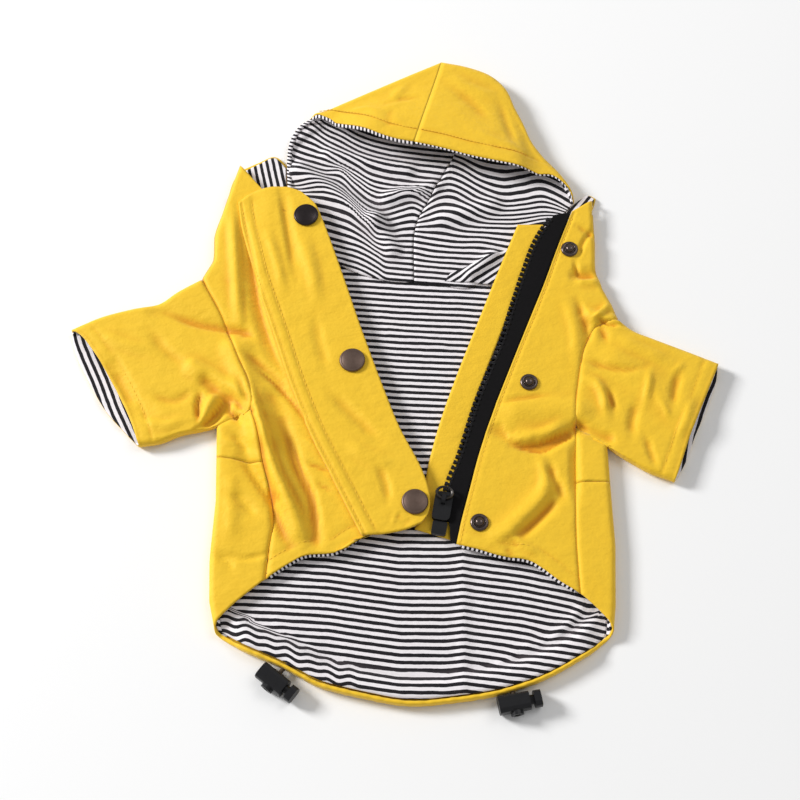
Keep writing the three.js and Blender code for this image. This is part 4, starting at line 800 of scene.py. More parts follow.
def stitches(name, paths, pitch=2.7):
    """Rows of short raised stitches along lines of 3-D points that lie on the cloth."""
    sides = STITCH["sides"]
    points, faces = [], []
    for path in paths:
        lengths = run_lengths(path)
        for at in np.arange(pitch, lengths[-1] - pitch, pitch):
            before, centre, after = (np.array([np.interp(s, lengths, path[:, k]) for k in range(3)])
                                     for s in (at - 0.5, at, at + 0.5))
            along = after - before
            along /= np.linalg.norm(along)
            aside = np.cross(along, [0, 0, 1])
            aside /= max(np.linalg.norm(aside), 1e-6)
            up = np.cross(aside, along)
            first = len(points)
            for offset, swell in STITCH_RINGS:
                middle = centre + along * offset * STITCH["length"]
                radius = STITCH["radius"] * swell
                for k in range(sides):
                    angle = 2 * math.pi * k / sides
                    points.append(middle + radius * (math.cos(angle) * aside + math.sin(angle) * up))
            last = len(points) - sides
            faces += ring_faces(first, len(STITCH_RINGS), sides)
            faces += [tuple(range(first, first + sides))[::-1], tuple(range(last, last + sides))]
    new_mesh(name, points, faces, THREAD)


def on_surface(line, height, count=160, span=(0.0, 1.0)):
    points = line(np.linspace(span[0], span[1], count))
    return np.column_stack([points, height(points[:, 0], points[:, 1])])


def offset_line(points, distance):
    """The line beside a plan line, to its left for a positive distance."""
    line = curve(points)

    def beside(t):
        t = np.asarray(t, float)
        along = line(np.minimum(t + 0.004, 1)) - line(np.maximum(t - 0.004, 0))
        along /= np.linalg.norm(along, axis=-1, keepdims=True)
        return line(t) + distance * np.stack([-along[..., 1], along[..., 0]], -1)
    return beside


# Camera
def place_camera():
    data = bpy.data.cameras.new("camera")
    data.sensor_width = CAMERA["sensor"]
    data.lens = CAMERA["distance"] / CAMERA["view_width"] * CAMERA["sensor"]
    data.clip_end = 20
    camera = new_object("camera", data)
    elevation = math.radians(CAMERA["elevation"])
    away = np.array([0, -math.cos(elevation), math.sin(elevation)]) * CAMERA["distance"]
    camera.location = to_frame(LOOK_AT + away)
    aim = Vector(to_frame(LOOK_AT)) - Vector(camera.location)
    camera.rotation_euler = aim.to_track_quat("-Z", "Y").to_euler()
    bpy.context.scene.camera = camera


place_camera()


# Draw cords
def lock_point(lock, x, y, z):
    """Point of a lock's own drawing, where the lock lies."""
    turned = Matrix.Rotation(math.radians(lock["turn"]), 4, "Z")
    return np.array(Matrix.Translation((lock["x"], lock["y"], 0)) @ turned @ Vector((x, y, z)))


def smooth_route(points, count=48):
    """Points along one smooth curve through the route's points."""
    p = np.vstack([2 * points[0] - points[1], points, 2 * points[-1] - points[-2]])
    found = []
    for i in range(1, len(p) - 2):
        for t in np.linspace(0, 1, 5)[:-1]:
            found.append(0.5 * (2 * p[i] + (p[i + 1] - p[i - 1]) * t
                                + (2 * p[i - 1] - 5 * p[i] + 4 * p[i + 1] - p[i + 2]) * t ** 2
                                + (3 * p[i] - p[i - 1] - 3 * p[i + 1] + p[i + 2]) * t ** 3))
    found = np.array(found + [p[-2]])
    lengths = run_lengths(found)
    at = np.linspace(0, lengths[-1], count)
    return np.column_stack([np.interp(at, lengths, found[:, k]) for k in range(3)])


def draw_cord(lock):
    """Stub of cord from inside the hem casing, through its eyelet, into its lock."""
    outer = CORD_END_INSET - LOCK_WIDTH / 2 - BOSS_HEIGHT
    middle = LOCK_HEIGHT / 2
    route = [(CORD_HOLE_X, y, middle) for y in (outer, -4, -2, 0, 2)] + [(CORD_HOLE_X, 5, middle - 0.5)]
    route += [(x, y, CASING_CORD_Z) for x, y in lock["inside"]]
    smooth = smooth_route(to_frame([lock_point(lock, *p) for p in route][::-1]))
    data = bpy.data.curves.new(f"draw_cord_{lock['side']}", "CURVE")
    data.dimensions = "3D"
    data.bevel_depth = CORD_RADIUS * MM
    data.bevel_resolution = 4
    data.use_fill_caps = True
    line = data.splines.new("POLY")
    line.points.add(len(smooth) - 1)
    for target, point in zip(line.points, smooth):
        target.co = (*point, 1)
    data.materials.append(CORD)
    piece = new_object(f"cord_{lock['side']}", data)
    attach(piece, "coat")
    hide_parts(f"draw_cord_{lock['side']}")
    round(float(run_lengths(smooth)[-1]), 4)


for cord_lock in LOCKS:
    draw_cord(cord_lock)


# Body cloth
def cells(length):
    return max(int(round(length / CELL)), 2)


def flat_map(points, numbers=None):
    """Cloth map: distance across in millimetres, and the stripe number along."""
    along = points[..., 1] / STRIPE if numbers is None else numbers
    return np.stack([points[..., 0], along], -1)


def back_stripes(x, y):
    """Stripe number of the back's lining."""
    hem = np.interp(x, HEM_DRIFT_X, HEM_DRIFT_Y)
    top = np.interp(x, HEM_DRIFT_X, TOP_DRIFT_Y)
    drift = hem + (top - hem) * smooth_step(-80, 20, y)
    return (y - drift) / STRIPE


def with_height(xy, z):
    """Plan points with their heights, or with one height for all."""
    return np.concatenate([xy, np.broadcast_to(z, xy.shape[:-1])[..., None]], -1)


def sheet_top(plan, across, along, height):
    xy = plan(*grid(across, along))
    return with_height(xy, height(xy[..., 0], xy[..., 1]))


def floor_slab(plan, across, along):
    return with_height(plan(*grid(cells(across) // 3, cells(along) // 3)), SHELL)


# Wrapped sides: lap on the floor, steps round the fold, shares of the turn where a wrap ends before the top,
# and each side's outline with the direction inwards
WRAP_LAP = 2.0
TURN_STEPS = 12
SHOULDER_TURN = 0.44
LINING_TURN = 0.8
SIDES = {"left": (LEFT_SIDE, 1), "right": (RIGHT_SIDE, -1)}


def wrapped_side(side, floor, seam, layer, along, turned, top_steps):
    """Cloth from inside the floor, round the folded side, and over the top to its seam."""
    table, inward = SIDES[side]
    turn_length = math.pi * (EDGE_RADIUS + LOFT / 2) / 2 * turned
    shares = [(-1, 0.0)] + [(k / TURN_STEPS, 0.0) for k in range(TURN_STEPS + 1)]
    shares += [(1.0, (k + 1) / top_steps) for k in range(top_steps)]
    b = np.linspace(0, 1, along + 1)
    end = seam(b)
    start_y = floor[0] + (floor[1] - floor[0]) * b
    top_length = np.zeros(len(b))
    if top_steps:
        top_length = np.abs(end[:, 0] - side_at(table, end[:, 1])) - EDGE_RADIUS
    columns = []
    for turn_share, top_share in shares:
        lap = WRAP_LAP if turn_share < 0 else 0.0
        share = max(turn_share, 0.0)
        travelled = turn_length * share + top_length * top_share
        y = start_y + (end[:, 1] - start_y) * travelled / (turn_length + top_length)
        fold = side_at(table, y)
        half = front_top(fold + inward * EDGE_RADIUS, y) / 2
        if top_share > 0:
            edge = fold + inward * EDGE_RADIUS
            x = edge + (end[:, 0] - edge) * top_share
            columns.append(np.column_stack([x, y, front_top(x, y) - layer]))
            continue
        angle = math.pi * (turned * share - 0.5)
        distance = layer + (EDGE_RADIUS - layer) * (1 - math.cos(angle)) + lap
        z = half + (half - layer) * math.sin(angle)
        columns.append(np.column_stack([fold + inward * distance, y, z]))
    found = np.stack(columns, 1)
    return found if inward > 0 else found[:, ::-1]


side_left = curve(SIDE_SEAM_LEFT)
side_right = curve(SIDE_SEAM_RIGHT)


def seam_part(line, low, high):
    """The part of a seam between two values of y."""
    t = np.linspace(0, 1, 400)
    y = line(t)[:, 1]
    start, end = np.interp([low, high], y, t)
    return lambda s: line(start + (end - start) * np.asarray(s))


def fold_line(side, low, high, radii=1.0):
    """Plan line beside a folded side, so many edge radii inside it."""
    table, inward = SIDES[side]

    def line(t):
        y = low + (high - low) * np.asarray(t, float)
        return np.stack([side_at(table, y) + radii * inward * EDGE_RADIUS, y], -1)
    return line


NECK_PARTS = [curve(p) for p in (NECK_LEFT, NECK_MIDDLE_LEFT, NECK_MIDDLE_RIGHT, NECK_RIGHT)]
neck_edge = shifted(joined(*NECK_PARTS), 0, -GAP)

# Values of y on the folded sides: the cross seam, the hem, the armhole on the floor and on the side seam,
# where the floor's cloth leaves the fold at the armhole, and the shoulder from and to
CROSS_LEFT = {"floor": -33.0, "seam": -38.0}
CROSS_RIGHT = {"floor": -47.7, "seam": -48.0}
HEM_START = {"left": -126.5, "right": -128.5}
ARMHOLE_START = {"left": (-20, -9.2), "right": (-31.5, -17)}
ARMHOLE_FOLD = {"shell": (-17.5, -28.5), "lining": (-20, -31)}
SHOULDER_SPAN = {"left": (70.5, 117), "right": (47, 110)}

# Lining's wraps: side, y on the floor from and to, and y at its free edge from and to
LINING_WRAPS = [("left", (-126, -22), (-119.2, -20)), ("right", (-127.8, -33), (-122, -31))]
LINING_EDGE_RADII = 1.6


def wraps(parts, layer, thickness):
    """Walls of wrapped sides. Each: side, floor from and to, seam, rows, share of the turn, rows on top."""
    found = []
    for side, floor, seam, along, turned, top_steps in parts:
        outer, inner = (wrapped_side(side, floor, seam, depth, along, turned, top_steps)
                        for depth in (layer, layer + thickness))
        numbers = back_stripes(outer[..., 0], outer[..., 1])
        found.append((outer, inner, flat_map(outer, numbers), None, False))
    return found


def back_lower():
    near = shifted(curve(BACK_HEM), 0, HEM_WIDTH + GAP)
    left = fold_line("left", near(0.0)[1], CROSS_LEFT["floor"])
    right = fold_line("right", near(1.0)[1], CROSS_RIGHT["floor"])
    plan = patch(near, straight(left(1.0), right(1.0)), straight(near(0.0), left(1.0)),
                 straight(near(1.0), right(1.0)))
    slab = floor_slab(plan, 190, 110)
    sides = wraps([
        ("left", (HEM_START["left"], CROSS_LEFT["floor"]),
         seam_part(side_left, SIDE_SEAM_LEFT[0][1], CROSS_LEFT["seam"]), cells(95), 1.0, 14),
        ("right", (HEM_START["right"], CROSS_RIGHT["floor"]),
         seam_part(side_right, SIDE_SEAM_RIGHT[0][1], CROSS_RIGHT["seam"]), cells(85), 1.0, 12),
    ], 0, SHELL)
    piece = cloth("back_lower_cloth", slab, SHELL, YELLOW, flat_map(slab), "back_lower", extra=sides)


def level(low, high):
    """Free edge of a wrap, of which only y counts."""
    return straight((0, low), (0, high))


def back_upper():
    cross_left, cross_right = CROSS_LEFT["floor"] + GAP, CROSS_RIGHT["floor"] + GAP
    low_left, low_right = ARMHOLE_FOLD["shell"]
    left = joined(fold_line("left", cross_left, low_left), curve(FLOOR_ARMHOLE_LEFT),
                  fold_line("left", *SHOULDER_SPAN["left"]))
    right = joined(fold_line("right", cross_right, low_right), curve(FLOOR_ARMHOLE_RIGHT),
                   fold_line("right", *SHOULDER_SPAN["right"]))
    slab = floor_slab(patch(straight(left(0.0), right(0.0)), neck_edge, left, right), 190, 150)
    floor_left, seam_left = ARMHOLE_START["left"]
    floor_right, seam_right = ARMHOLE_START["right"]
    sides = wraps([
        ("left", (cross_left, floor_left), seam_part(side_left, CROSS_LEFT["seam"] + GAP, seam_left),
         12, 1.0, 14),
        ("right", (cross_right, floor_right), seam_part(side_right, CROSS_RIGHT["seam"] + GAP, seam_right),
         16, 1.0, 12),
        ("left", SHOULDER_SPAN["left"], level(*SHOULDER_SPAN["left"]), 26, SHOULDER_TURN, 0),
        ("right", SHOULDER_SPAN["right"], level(*SHOULDER_SPAN["right"]), 34, SHOULDER_TURN, 0),
    ], 0, SHELL)
    piece = cloth("back_upper_cloth", slab, SHELL, YELLOW, flat_map(slab), "back_upper", extra=sides)


def back_lining():
    near = shifted(curve(BACK_HEM), 0, HEM_WIDTH + 2 * GAP)
    low_left, low_right = ARMHOLE_FOLD["lining"]
    left = joined(fold_line("left", near(0.0)[1], low_left), curve(LINING_ARMHOLE_LEFT),
                  fold_line("left", *SHOULDER_SPAN["left"], LINING_EDGE_RADII))
    right = joined(fold_line("right", near(1.0)[1], low_right), curve(LINING_ARMHOLE_RIGHT),
                   fold_line("right", *SHOULDER_SPAN["right"], LINING_EDGE_RADII))

    def height(x, y):
        return LINING_TOP + casing_lift(x, y) + relief(LINING_CREASES, x, y)
    top = sheet_top(patch(near, neck_edge, left, right), cells(190), cells(250), height)
    number = back_stripes(top[..., 0], top[..., 1]) + casing_shift(top[..., 0], top[..., 1])
    sides = wraps([(side, floor, level(*edge), 50, LINING_TURN, 0) for side, floor, edge in LINING_WRAPS],
                  LINING_FLOOR, LINING)
    piece = cloth("back_lining_cloth", top, LINING, STRIPED, flat_map(top, number), "back_lining",
                  painted_shade=dip_shade(top[..., 2], 2, 0.5), extra=sides)


# Folds of the back's lining, as in the tables above, and puckers at the casing's seam.
# Each pucker: its middle in plan, and how far it pulls the stripes down
LINING_CREASES = [
    ((31, -84), (30, -150), 5, 0.8),
    ((88, -112), (74, -128), 3, 1.0),
    ((96, -112), (82, -126), 3, -0.5),
    ((76, -124), (60, -134), 3, 0.8),
    ((62, -130), (46, -140), 3, 0.7),
    ((-60, -118), (-40, -132), 4, 0.6),
    ((-6, 40), (22, 30), 5, 0.6),
]
PUCKERS = [
    ((90, -114), 1.6),
    ((80, -122), -1.5),
    ((70, -127), 1.2),
    ((56, -136), 1.1),
]
PUCKER_REACH = 5.0

# Stripes of the casing: their lean to either side, their ripple and how far they sink
CASING_LEAN = {"left": 0.26, "right": 0.08}
RIPPLE = {"height": 0.5, "length": 17.0, "second": 1.7}
CASING_DROP = 0.8
HEM_LOWEST = min(y for _, y in BACK_HEM)


def casing_shift(x, y):
    """Stripes of the casing strip lean to the hem and ripple, and the cloth puckers at its seam."""
    distance = distance_to(hem_line, x, y)
    inside = 1 - smooth_step(CASING_WIDTH - 0.4, CASING_WIDTH + 0.4, distance)
    lean = CASING_LEAN["left"] * smooth_step(5, -80, x) + CASING_LEAN["right"] * smooth_step(5, 90, x)
    phase = 2 * math.pi * x / RIPPLE["length"]
    waves = np.sin(phase) + np.sin(RIPPLE["second"] * phase + 1)
    ripple = RIPPLE["height"] * waves * smooth_step(-8, -30, x)
    shift = inside * (lean * (distance - (y - HEM_LOWEST)) + CASING_DROP + ripple) / STRIPE
    for (middle_x, middle_y), pull in PUCKERS:
        away = np.hypot(x - middle_x, y - middle_y)
        shift += pull / STRIPE * np.exp(-((away / PUCKER_REACH) ** 2))
    return shift


# Rows of stitches that the pieces leave for the last mesh, and how far the rows lie from their edges
STITCH_ROWS = []
HEM_ROW = 7.0
ZIP_ROW = -1.6
FLAP_ROWS = (-1.5, -7.0)

# Edge of the left front under the flap: where its ends lie, and how far it lies from the flap's edge
HIDDEN_EDGE = {"hem": (-8.0, -72.0), "neck": (-66.0, 112.0), "across": -13.0, "down": -2.0, "fall": -6.0}

# Groove of the left side seam below the armhole, and the least share of height at a shoulder's fold
SIDE_GROOVE = {"depth": 0.35, "width": 1.6, "top": -8}
SHOULDER_LOW = 40
SHOULDER_LEAST = 0.08


def front_height(x, y):
    """Upper face of a front, which comes down round the fold beside the shoulder."""
    half = front_top(x, y) / 2
    drop = np.maximum(turn(inside_sides(x, y), 0), SHOULDER_LEAST)
    return half + half * np.where(y > SHOULDER_LOW, drop, 1.0)


def front_left():
    flap_edge, shoulder = curve(FLAP_EDGE), curve(SHOULDER_LEFT)
    start = joined(side_left, curve(ARMHOLE_LEFT), shoulder)

    def end(t):
        t = np.asarray(t, float)
        across = np.full(t.shape, HIDDEN_EDGE["across"])
        moved = flap_edge(t) + np.stack([across, HIDDEN_EDGE["down"] + HIDDEN_EDGE["fall"] * t], -1)
        moved = np.where((t == 0)[..., None], np.array(HIDDEN_EDGE["hem"]), moved)
        return np.where((t == 1)[..., None], np.array(HIDDEN_EDGE["neck"]), moved)
    near = curve(FRONT_HEM_LEFT[:5] + [HIDDEN_EDGE["hem"]])
    plan = patch(near, straight(shoulder(1.0), HIDDEN_EDGE["neck"]), start, end)
    hem_row = offset_line(FRONT_HEM_LEFT, HEM_ROW)

    def height(x, y):
        side = np.where(y < SIDE_GROOVE["top"], 1, 0)
        side = side * groove(side_left, x, y, SIDE_GROOVE["depth"], SIDE_GROOVE["width"])
        return front_height(x, y) + groove(hem_row, x, y) + side
    top = sheet_top(plan, cells(80), cells(240), height)
    piece = cloth("front_left_cloth", top, WALL["front"], YELLOW, flat_map(top), "front_left",
                  painted_shade=dip_shade(top[..., 2], gain=1.1))
    STITCH_ROWS.append(on_surface(hem_row, height))


def front_right():
    shoulder, zip_edge = curve(SHOULDER_RIGHT), curve(ZIP_EDGE)
    end = joined(side_right, curve(ARMHOLE_RIGHT), shoulder)
    plan = patch(curve(FRONT_HEM_RIGHT), straight(zip_edge(1.0), shoulder(1.0)), zip_edge, end)
    rows = [offset_line(ZIP_EDGE, ZIP_ROW), offset_line(FRONT_HEM_RIGHT, HEM_ROW)]

    def height(x, y):
        return front_height(x, y) + sum(groove(row, x, y) for row in rows)
    top = sheet_top(plan, cells(75), cells(230), height)
    piece = cloth("front_right_cloth", top, WALL["front"], YELLOW, flat_map(top), "front_right",
                  painted_shade=dip_shade(top[..., 2]))
    STITCH_ROWS.extend(on_surface(row, height) for row in rows)


# Flap: how much thinner it is at the neck, and the ridge over its turned seam
FLAP_THINNED = 0.75
FLAP_RIDGE = {"height": 0.5, "from": 8.5, "to": 6.5}


def snap_flap():
    seam = curve(FLAP_SEAM)
    plan = patch(curve(FLAP_HEM), curve(FLAP_NECK), seam, curve(FLAP_EDGE))
    rows = [offset_line(FLAP_SEAM, distance) for distance in FLAP_ROWS]

    def height(x, y):
        step = FLAP * (1 - FLAP_THINNED * smooth_step(60, 110, y) * smooth_step(-70, -84, x))
        top = front_top(x, y) + GAP + step + FOLD_GAIN * creased(FLAP_CREASES, x, y)
        near_seam = smooth_step(FLAP_RIDGE["from"], FLAP_RIDGE["to"], distance_to(seam, x, y))
        return top + FLAP_RIDGE["height"] * near_seam + sum(groove(row, x, y, 0.6, 0.8) for row in rows)
    top = sheet_top(plan, cells(75), cells(215), height)
    piece = cloth("snap_flap_cloth", top, WALL["flap"], YELLOW, flat_map(top), "snap_flap",
                  painted_shade=dip_shade(top[..., 2]))
    STITCH_ROWS.extend(on_surface(row, height) for row in rows)


# Facings: how far they show and lie hidden beside the hem, how deep they lie, and their span of the hem
FACING = {"shows": 1.3, "hidden": 2.2, "drop": 1.2, "span": (0.04, 0.96)}


def front_facings():
    """Striped facings that show as a narrow line below the front hems."""
    for side, table, length in (("left", FRONT_HEM_LEFT, 56), ("right", FRONT_HEM_RIGHT, 66)):
        inside, outside = offset_line(table, FACING["hidden"]), offset_line(table, -FACING["shows"])
        t = np.linspace(*FACING["span"], 60)
        hem = curve(table)(t)
        z = front_top(hem[:, 0], hem[:, 1]) - FACING["drop"]
        top = np.stack([np.column_stack([line(t), z]) for line in (inside, outside)])
        numbers = np.broadcast_to(t * length / EDGING_PITCH, top.shape[:2])
        piece = cloth(f"front_facing_{side}_cloth", top, WALL["facing"], STRIPED, flat_map(top, numbers))


# Zip
def strip_plan(left, right):
    return patch(straight(left(0.0), right(0.0)), straight(left(1.0), right(1.0)), left, right)


# Guard: its width and lower inner corner, its height over the lining, and waves as (height, length, start)
GUARD = {"width": 15, "corner": (25, -77.5), "rise": 1, "ease": 0.4}
GUARD_WAVES = [(0.35, 17.0, 0.0), (0.2, 7.3, 1.0)]
WAVE_SHARE = 0.6


def zip_guard():
    inner = curve([GUARD["corner"]] + [(x + GUARD["width"], y) for x, y in GUARD_EDGE[1:]])

    def height(x, y):
        wave = sum(rise * np.sin(y / length + start) for rise, length, start in GUARD_WAVES)
        over_neck = HOOD_EASE * smooth_step(55, 80, y)
        return LINING_TOP + GAP + GUARD["rise"] + over_neck + GUARD["ease"] + wave * WAVE_SHARE
    top = sheet_top(strip_plan(curve(GUARD_EDGE), inner), 10, cells(180), height)
    piece = cloth("zip_guard_cloth", top, WALL["guard"], YELLOW, flat_map(top), "zip_guard",
                  painted_shade=dip_shade(top[..., 2]))


def zip_tape(node, left, right, floor):
    top = sheet_top(strip_plan(left, right), 8, cells(190), lambda x, y: floor + 0.9 + 0.1 * np.sin(y / 9))
    piece = cloth(f"{node}_cloth", top, WALL["tape"], TAPE, flat_map(top), node)


# One tooth: its outline in shares of length and width, and its levels in shares of height and outline
TOOTH_OUTLINE = [
    (-0.5, -0.30), (0.15, -0.30), (0.3, -0.5), (0.62, -0.42), (0.62, 0.42), (0.3, 0.5), (0.15, 0.30),
    (-0.5, 0.30),
]
TOOTH_LEVELS = [(0, 0.92), (0.3, 1.0), (0.75, 1.0), (1, 0.8)]


def tooth_block(at, turn_angle, floor):
    """One moulded tooth: a neck on the tape and a wider head, its top drawn in."""
    c, s = math.cos(turn_angle), math.sin(turn_angle)
    points = []
    for level, inset in TOOTH_LEVELS:
        for u, v in TOOTH_OUTLINE:
            x, y = u * TOOTH["length"] * inset, v * TOOTH["width"] * inset
            points.append((at[0] + x * c - y * s, at[1] + x * s + y * c, floor + TOOTH["height"] * level))
    return points


def zip_teeth():
    line = curve(TEETH_EDGE)
    t = np.linspace(0, 1, 800)
    lengths = run_lengths(line(t))
    count = len(TOOTH_OUTLINE)
    points, faces = [], []
    for at in np.arange(TOOTH["first"], lengths[-1] - 2, TOOTH["pitch"]):
        share = np.interp(at, lengths, t)
        here, ahead = line(share), line(min(share + 0.004, 1))
        angle = math.atan2(ahead[1] - here[1], ahead[0] - here[0]) + math.pi / 2
        first = len(points)
        points += tooth_block(here + np.array([TOOTH["aside"], 0]), angle, TAPE_FLOOR - TOOTH["sunk"])
        last = len(points) - count
        faces += [tuple(range(first, first + count))[::-1], tuple(range(last, last + count))]
        faces += ring_faces(first, len(TOOTH_LEVELS), count)
    piece = new_mesh("zip_teeth", np.array(points), faces, TEETH)
    for polygon in piece.data.polygons:
        polygon.use_smooth = False


# Snaps
def lathe(name, profile, at, material, node, segments=48):
    """Round piece turned from a profile of radius and height, with a point at either end."""
    angles = np.linspace(0, 2 * math.pi, segments, endpoint=False)
    points = [(at[0], at[1], at[2] + profile[0][1])]
    for radius, height in profile[1:-1]:
        points += [(at[0] + radius * math.cos(a), at[1] + radius * math.sin(a), at[2] + height)
                   for a in angles]
    points.append((at[0], at[1], at[2] + profile[-1][1]))
    rings = len(profile) - 2
    last = 1 + (rings - 1) * segments
    faces = [(0, 1 + (k + 1) % segments, 1 + k) for k in range(segments)]
    faces += ring_faces(1, rings, segments)
    faces += [(last + k, last + (k + 1) % segments, len(points) - 1) for k in range(segments)]
    piece = new_mesh(name, np.array(points), faces, material)
    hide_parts(node)


# Profiles of a cap and of a stud, from under them to the top
CAP_PROFILE = [
    (0, 0), (CAP_RADIUS - 0.5, 0), (CAP_RADIUS - 0.1, 0.25), (CAP_RADIUS, 0.7), (CAP_RADIUS - 0.25, 1.25),
    (CAP_RADIUS - 0.7, 1.55), (CAP_RADIUS - 1.0, 1.5), (CAP_RADIUS - 1.3, 1.62), (4.2, 1.95), (2.6, 2.2),
    (1.2, 2.33), (0, 2.38),
]
STUD_PROFILE = [
    (0, 0), (STUD_RADIUS - 0.4, 0), (STUD_RADIUS, 0.3), (STUD_RADIUS, 0.6), (4.2, 1.1), (3.4, 1.3),
    (2.9, 1.1), (2.6, 0.7), (2.3, 0.7), (2.2, 1.4), (1.9, 2.1), (1.2, 2.5), (0.6, 2.62), (0, 2.65),
]
CAP_LIFT = 0.2
STUD_LIFT = 0.1


def snaps():
    for index, (x, y) in enumerate(CAPS):
        height = float(front_top(np.array(x), np.array(y))) + GAP + FLAP + CAP_LIFT
        lathe(f"cap_{index + 1}", CAP_PROFILE, (x, y, height), CAP_METAL if index else SHADED_CAP_METAL,
              # The first cap takes the darker copy of the cap metal: painted shade
              f"snap_cap_{index + 1}")
    for index, (x, y) in enumerate(STUDS):
        height = float(front_top(np.array(x), np.array(y))) + STUD_LIFT
        lathe(f"stud_{index + 1}", STUD_PROFILE, (x, y, height), STUD_METAL, f"snap_stud_{index + 1}")


# Sleeves
TURN_ROWS = 8
FLAT_ROWS = 46


def sleeve_rows():
    """Points round a sleeve: part, place across or which fold, and the angle round the fold."""
    rows = [("edge", 0, angle) for angle in np.linspace(0, 90, TURN_ROWS)]
    rows += [("upper", share, None) for share in np.linspace(0, 1, FLAT_ROWS)[1:-1]]
    rows += [("edge", 1, angle) for angle in np.linspace(90, -90, 2 * TURN_ROWS - 1)]
    rows += [("lower", share, None) for share in np.linspace(1, 0, FLAT_ROWS)[1:-1]]
    return rows + [("edge", 0, angle) for angle in np.linspace(-90, 0, TURN_ROWS)[:-1]]


def sleeve_surface(cut, armhole, back, along, start, inset, extra_height=None):
    """Rings of a flattened sleeve tube, so far inside its outer face, from a share of its length on."""
    top, under = curve(cut["top"]), curve(cut["under"])
    upper = patch(armhole, curve(cut["cuff"]), top, under)
    lower = patch(back, curve(cut["lower_cuff"]), top, under)
    rings = []
    for k in start + (1 - start) * np.linspace(0, 1, along + 1):
        length = float(np.linalg.norm(top(k) - under(k)))
        radius = EDGE_RADIUS / length
        ring = []
        for kind, value, angle in sleeve_rows():
            on_top = kind == "upper" or (kind == "edge" and angle >= 0)
            if kind == "edge":
                across = (inset + (EDGE_RADIUS - inset) * (1 - math.cos(math.radians(angle)))) / length
                across = 1 - across if value == 1 else across
                rise = math.sin(math.radians(angle))
            else:
                across = radius + value * (1 - 2 * radius)
                rise = 1 if on_top else -1
            ring.append((*(upper if on_top else lower)(across, k), rise))
        rings.append(ring)
    found = np.array(rings)
    half = front_top(found[..., 0], found[..., 1]) / 2
    z = half + (half - inset) * found[..., 2]
    if extra_height is not None:
        z = z + extra_height(found[..., 0], found[..., 1]) * np.maximum(found[..., 2], 0)
    return with_height(found[..., :2], z)


def ring_map(rings):
    """Cloth map of a tube: length round it, and the stripe number along it."""
    steps = np.linalg.norm(np.diff(rings, axis=1), axis=-1)
    around = np.concatenate([np.zeros((len(rings), 1)), np.cumsum(steps, axis=1)], 1)
    steps = np.linalg.norm(np.diff(rings, axis=0), axis=-1)
    along = np.concatenate([np.zeros((1, rings.shape[1])), np.cumsum(steps, axis=0)], 0)
    return np.stack([around, along / STRIPE], -1)


# Cuff: how far its stitches and its edge's groove lie inside it, and the share along where its lining starts
CUFF_WIDTH = 7.5
CUFF_EDGE = 1.6
SLEEVE_LINED_FROM = 0.70


def sleeves():
    left_hole = curve(ARMHOLE_LEFT[::-1] + UNDERARM_LEFT[1:])
    right_hole = curve(ARMHOLE_RIGHT[::-1] + UNDERARM_RIGHT[1:])
    sides = [
        ("left", SLEEVE_LEFT, left_hole, curve(BACK_ARMHOLE_LEFT[::-1])),
        ("right", SLEEVE_RIGHT, right_hole, curve(BACK_ARMHOLE_RIGHT[::-1])),
    ]
    for side, cut, hole, back in sides:
        inward = SIDES[side][1]
        cuff_line = offset_line(cut["cuff"], inward * CUFF_WIDTH)
        edge_line = offset_line(cut["cuff"], inward * CUFF_EDGE)

        def detail(x, y, row=cuff_line, rim=edge_line):
            return groove(row, x, y, 0.5, 0.8) + groove(rim, x, y, 0.25, 1.0)
        rings = sleeve_surface(cut, hole, shifted(back, -3 * inward * GAP, 0), 48, 0.0, 0.0, detail)
        rings = rings[:, ::-1] if side == "left" else rings
        piece = cloth(f"sleeve_{side}_cloth", rings, SHELL, YELLOW, ring_map(rings), f"sleeve_{side}",
                      painted_shade=dip_shade(rings[..., 2]) * (rings[..., 2] > 3), wrapped=True)
        lining = sleeve_surface(cut, hole, back, 16, SLEEVE_LINED_FROM, LINING_FLOOR)
        lining = lining[:, ::-1] if side == "left" else lining
        inner = cloth(f"sleeve_lining_{side}_cloth", lining, LINING, STRIPED, ring_map(lining),
                      f"sleeve_lining_{side}", wrapped=True)
        STITCH_ROWS.append(on_surface(cuff_line, lambda x, y: front_top(x, y) + detail(x, y),
                                      span=(0.06, 0.94)))


# Hood: length round the crown's fold, least share of that turn, and how far back the crown comes where it
# turns in full
CROWN_TURN = math.pi * CROWN_RADIUS
CURL_LEAST = 0.15
CURL_FULL = 9.0
HOOD_ROWS = {"floor": 40, "turn": 14, "back": 26}

# Row of stitches beside the brim: how far inside, its dent, its parts of the two brims, the largest share
# of the way to the crown it may lie at, and how deep the stitches sink
BRIM_ROW = {"inside": 9, "depth": 0.45, "width": 0.8, "left": (0.3, 1), "right": (0, 0.62), "most": 0.8,
            "sunk": 0.05}

# Crown's lining: ease under the crown, and rows of the turn that it leaves out
CROWN_EASE = 0.4
CROWN_UNLINED = 4

# Hood's lining: how far short of the crown it ends, and its lip over the neck's seam
LINED_SHORT = 1.0
NECK_LIP = 0.022
NECK_LAP = 2.8
LIP_HEIGHT = 0.7


def brim_rise(share, returned):
    """How much higher the laid-back face lies, at a share of the way to the brim."""
    return (BRIM_HEIGHT - CROWN_HEIGHT) * smooth_step(0, 1, share) * smooth_step(4, 40, returned)


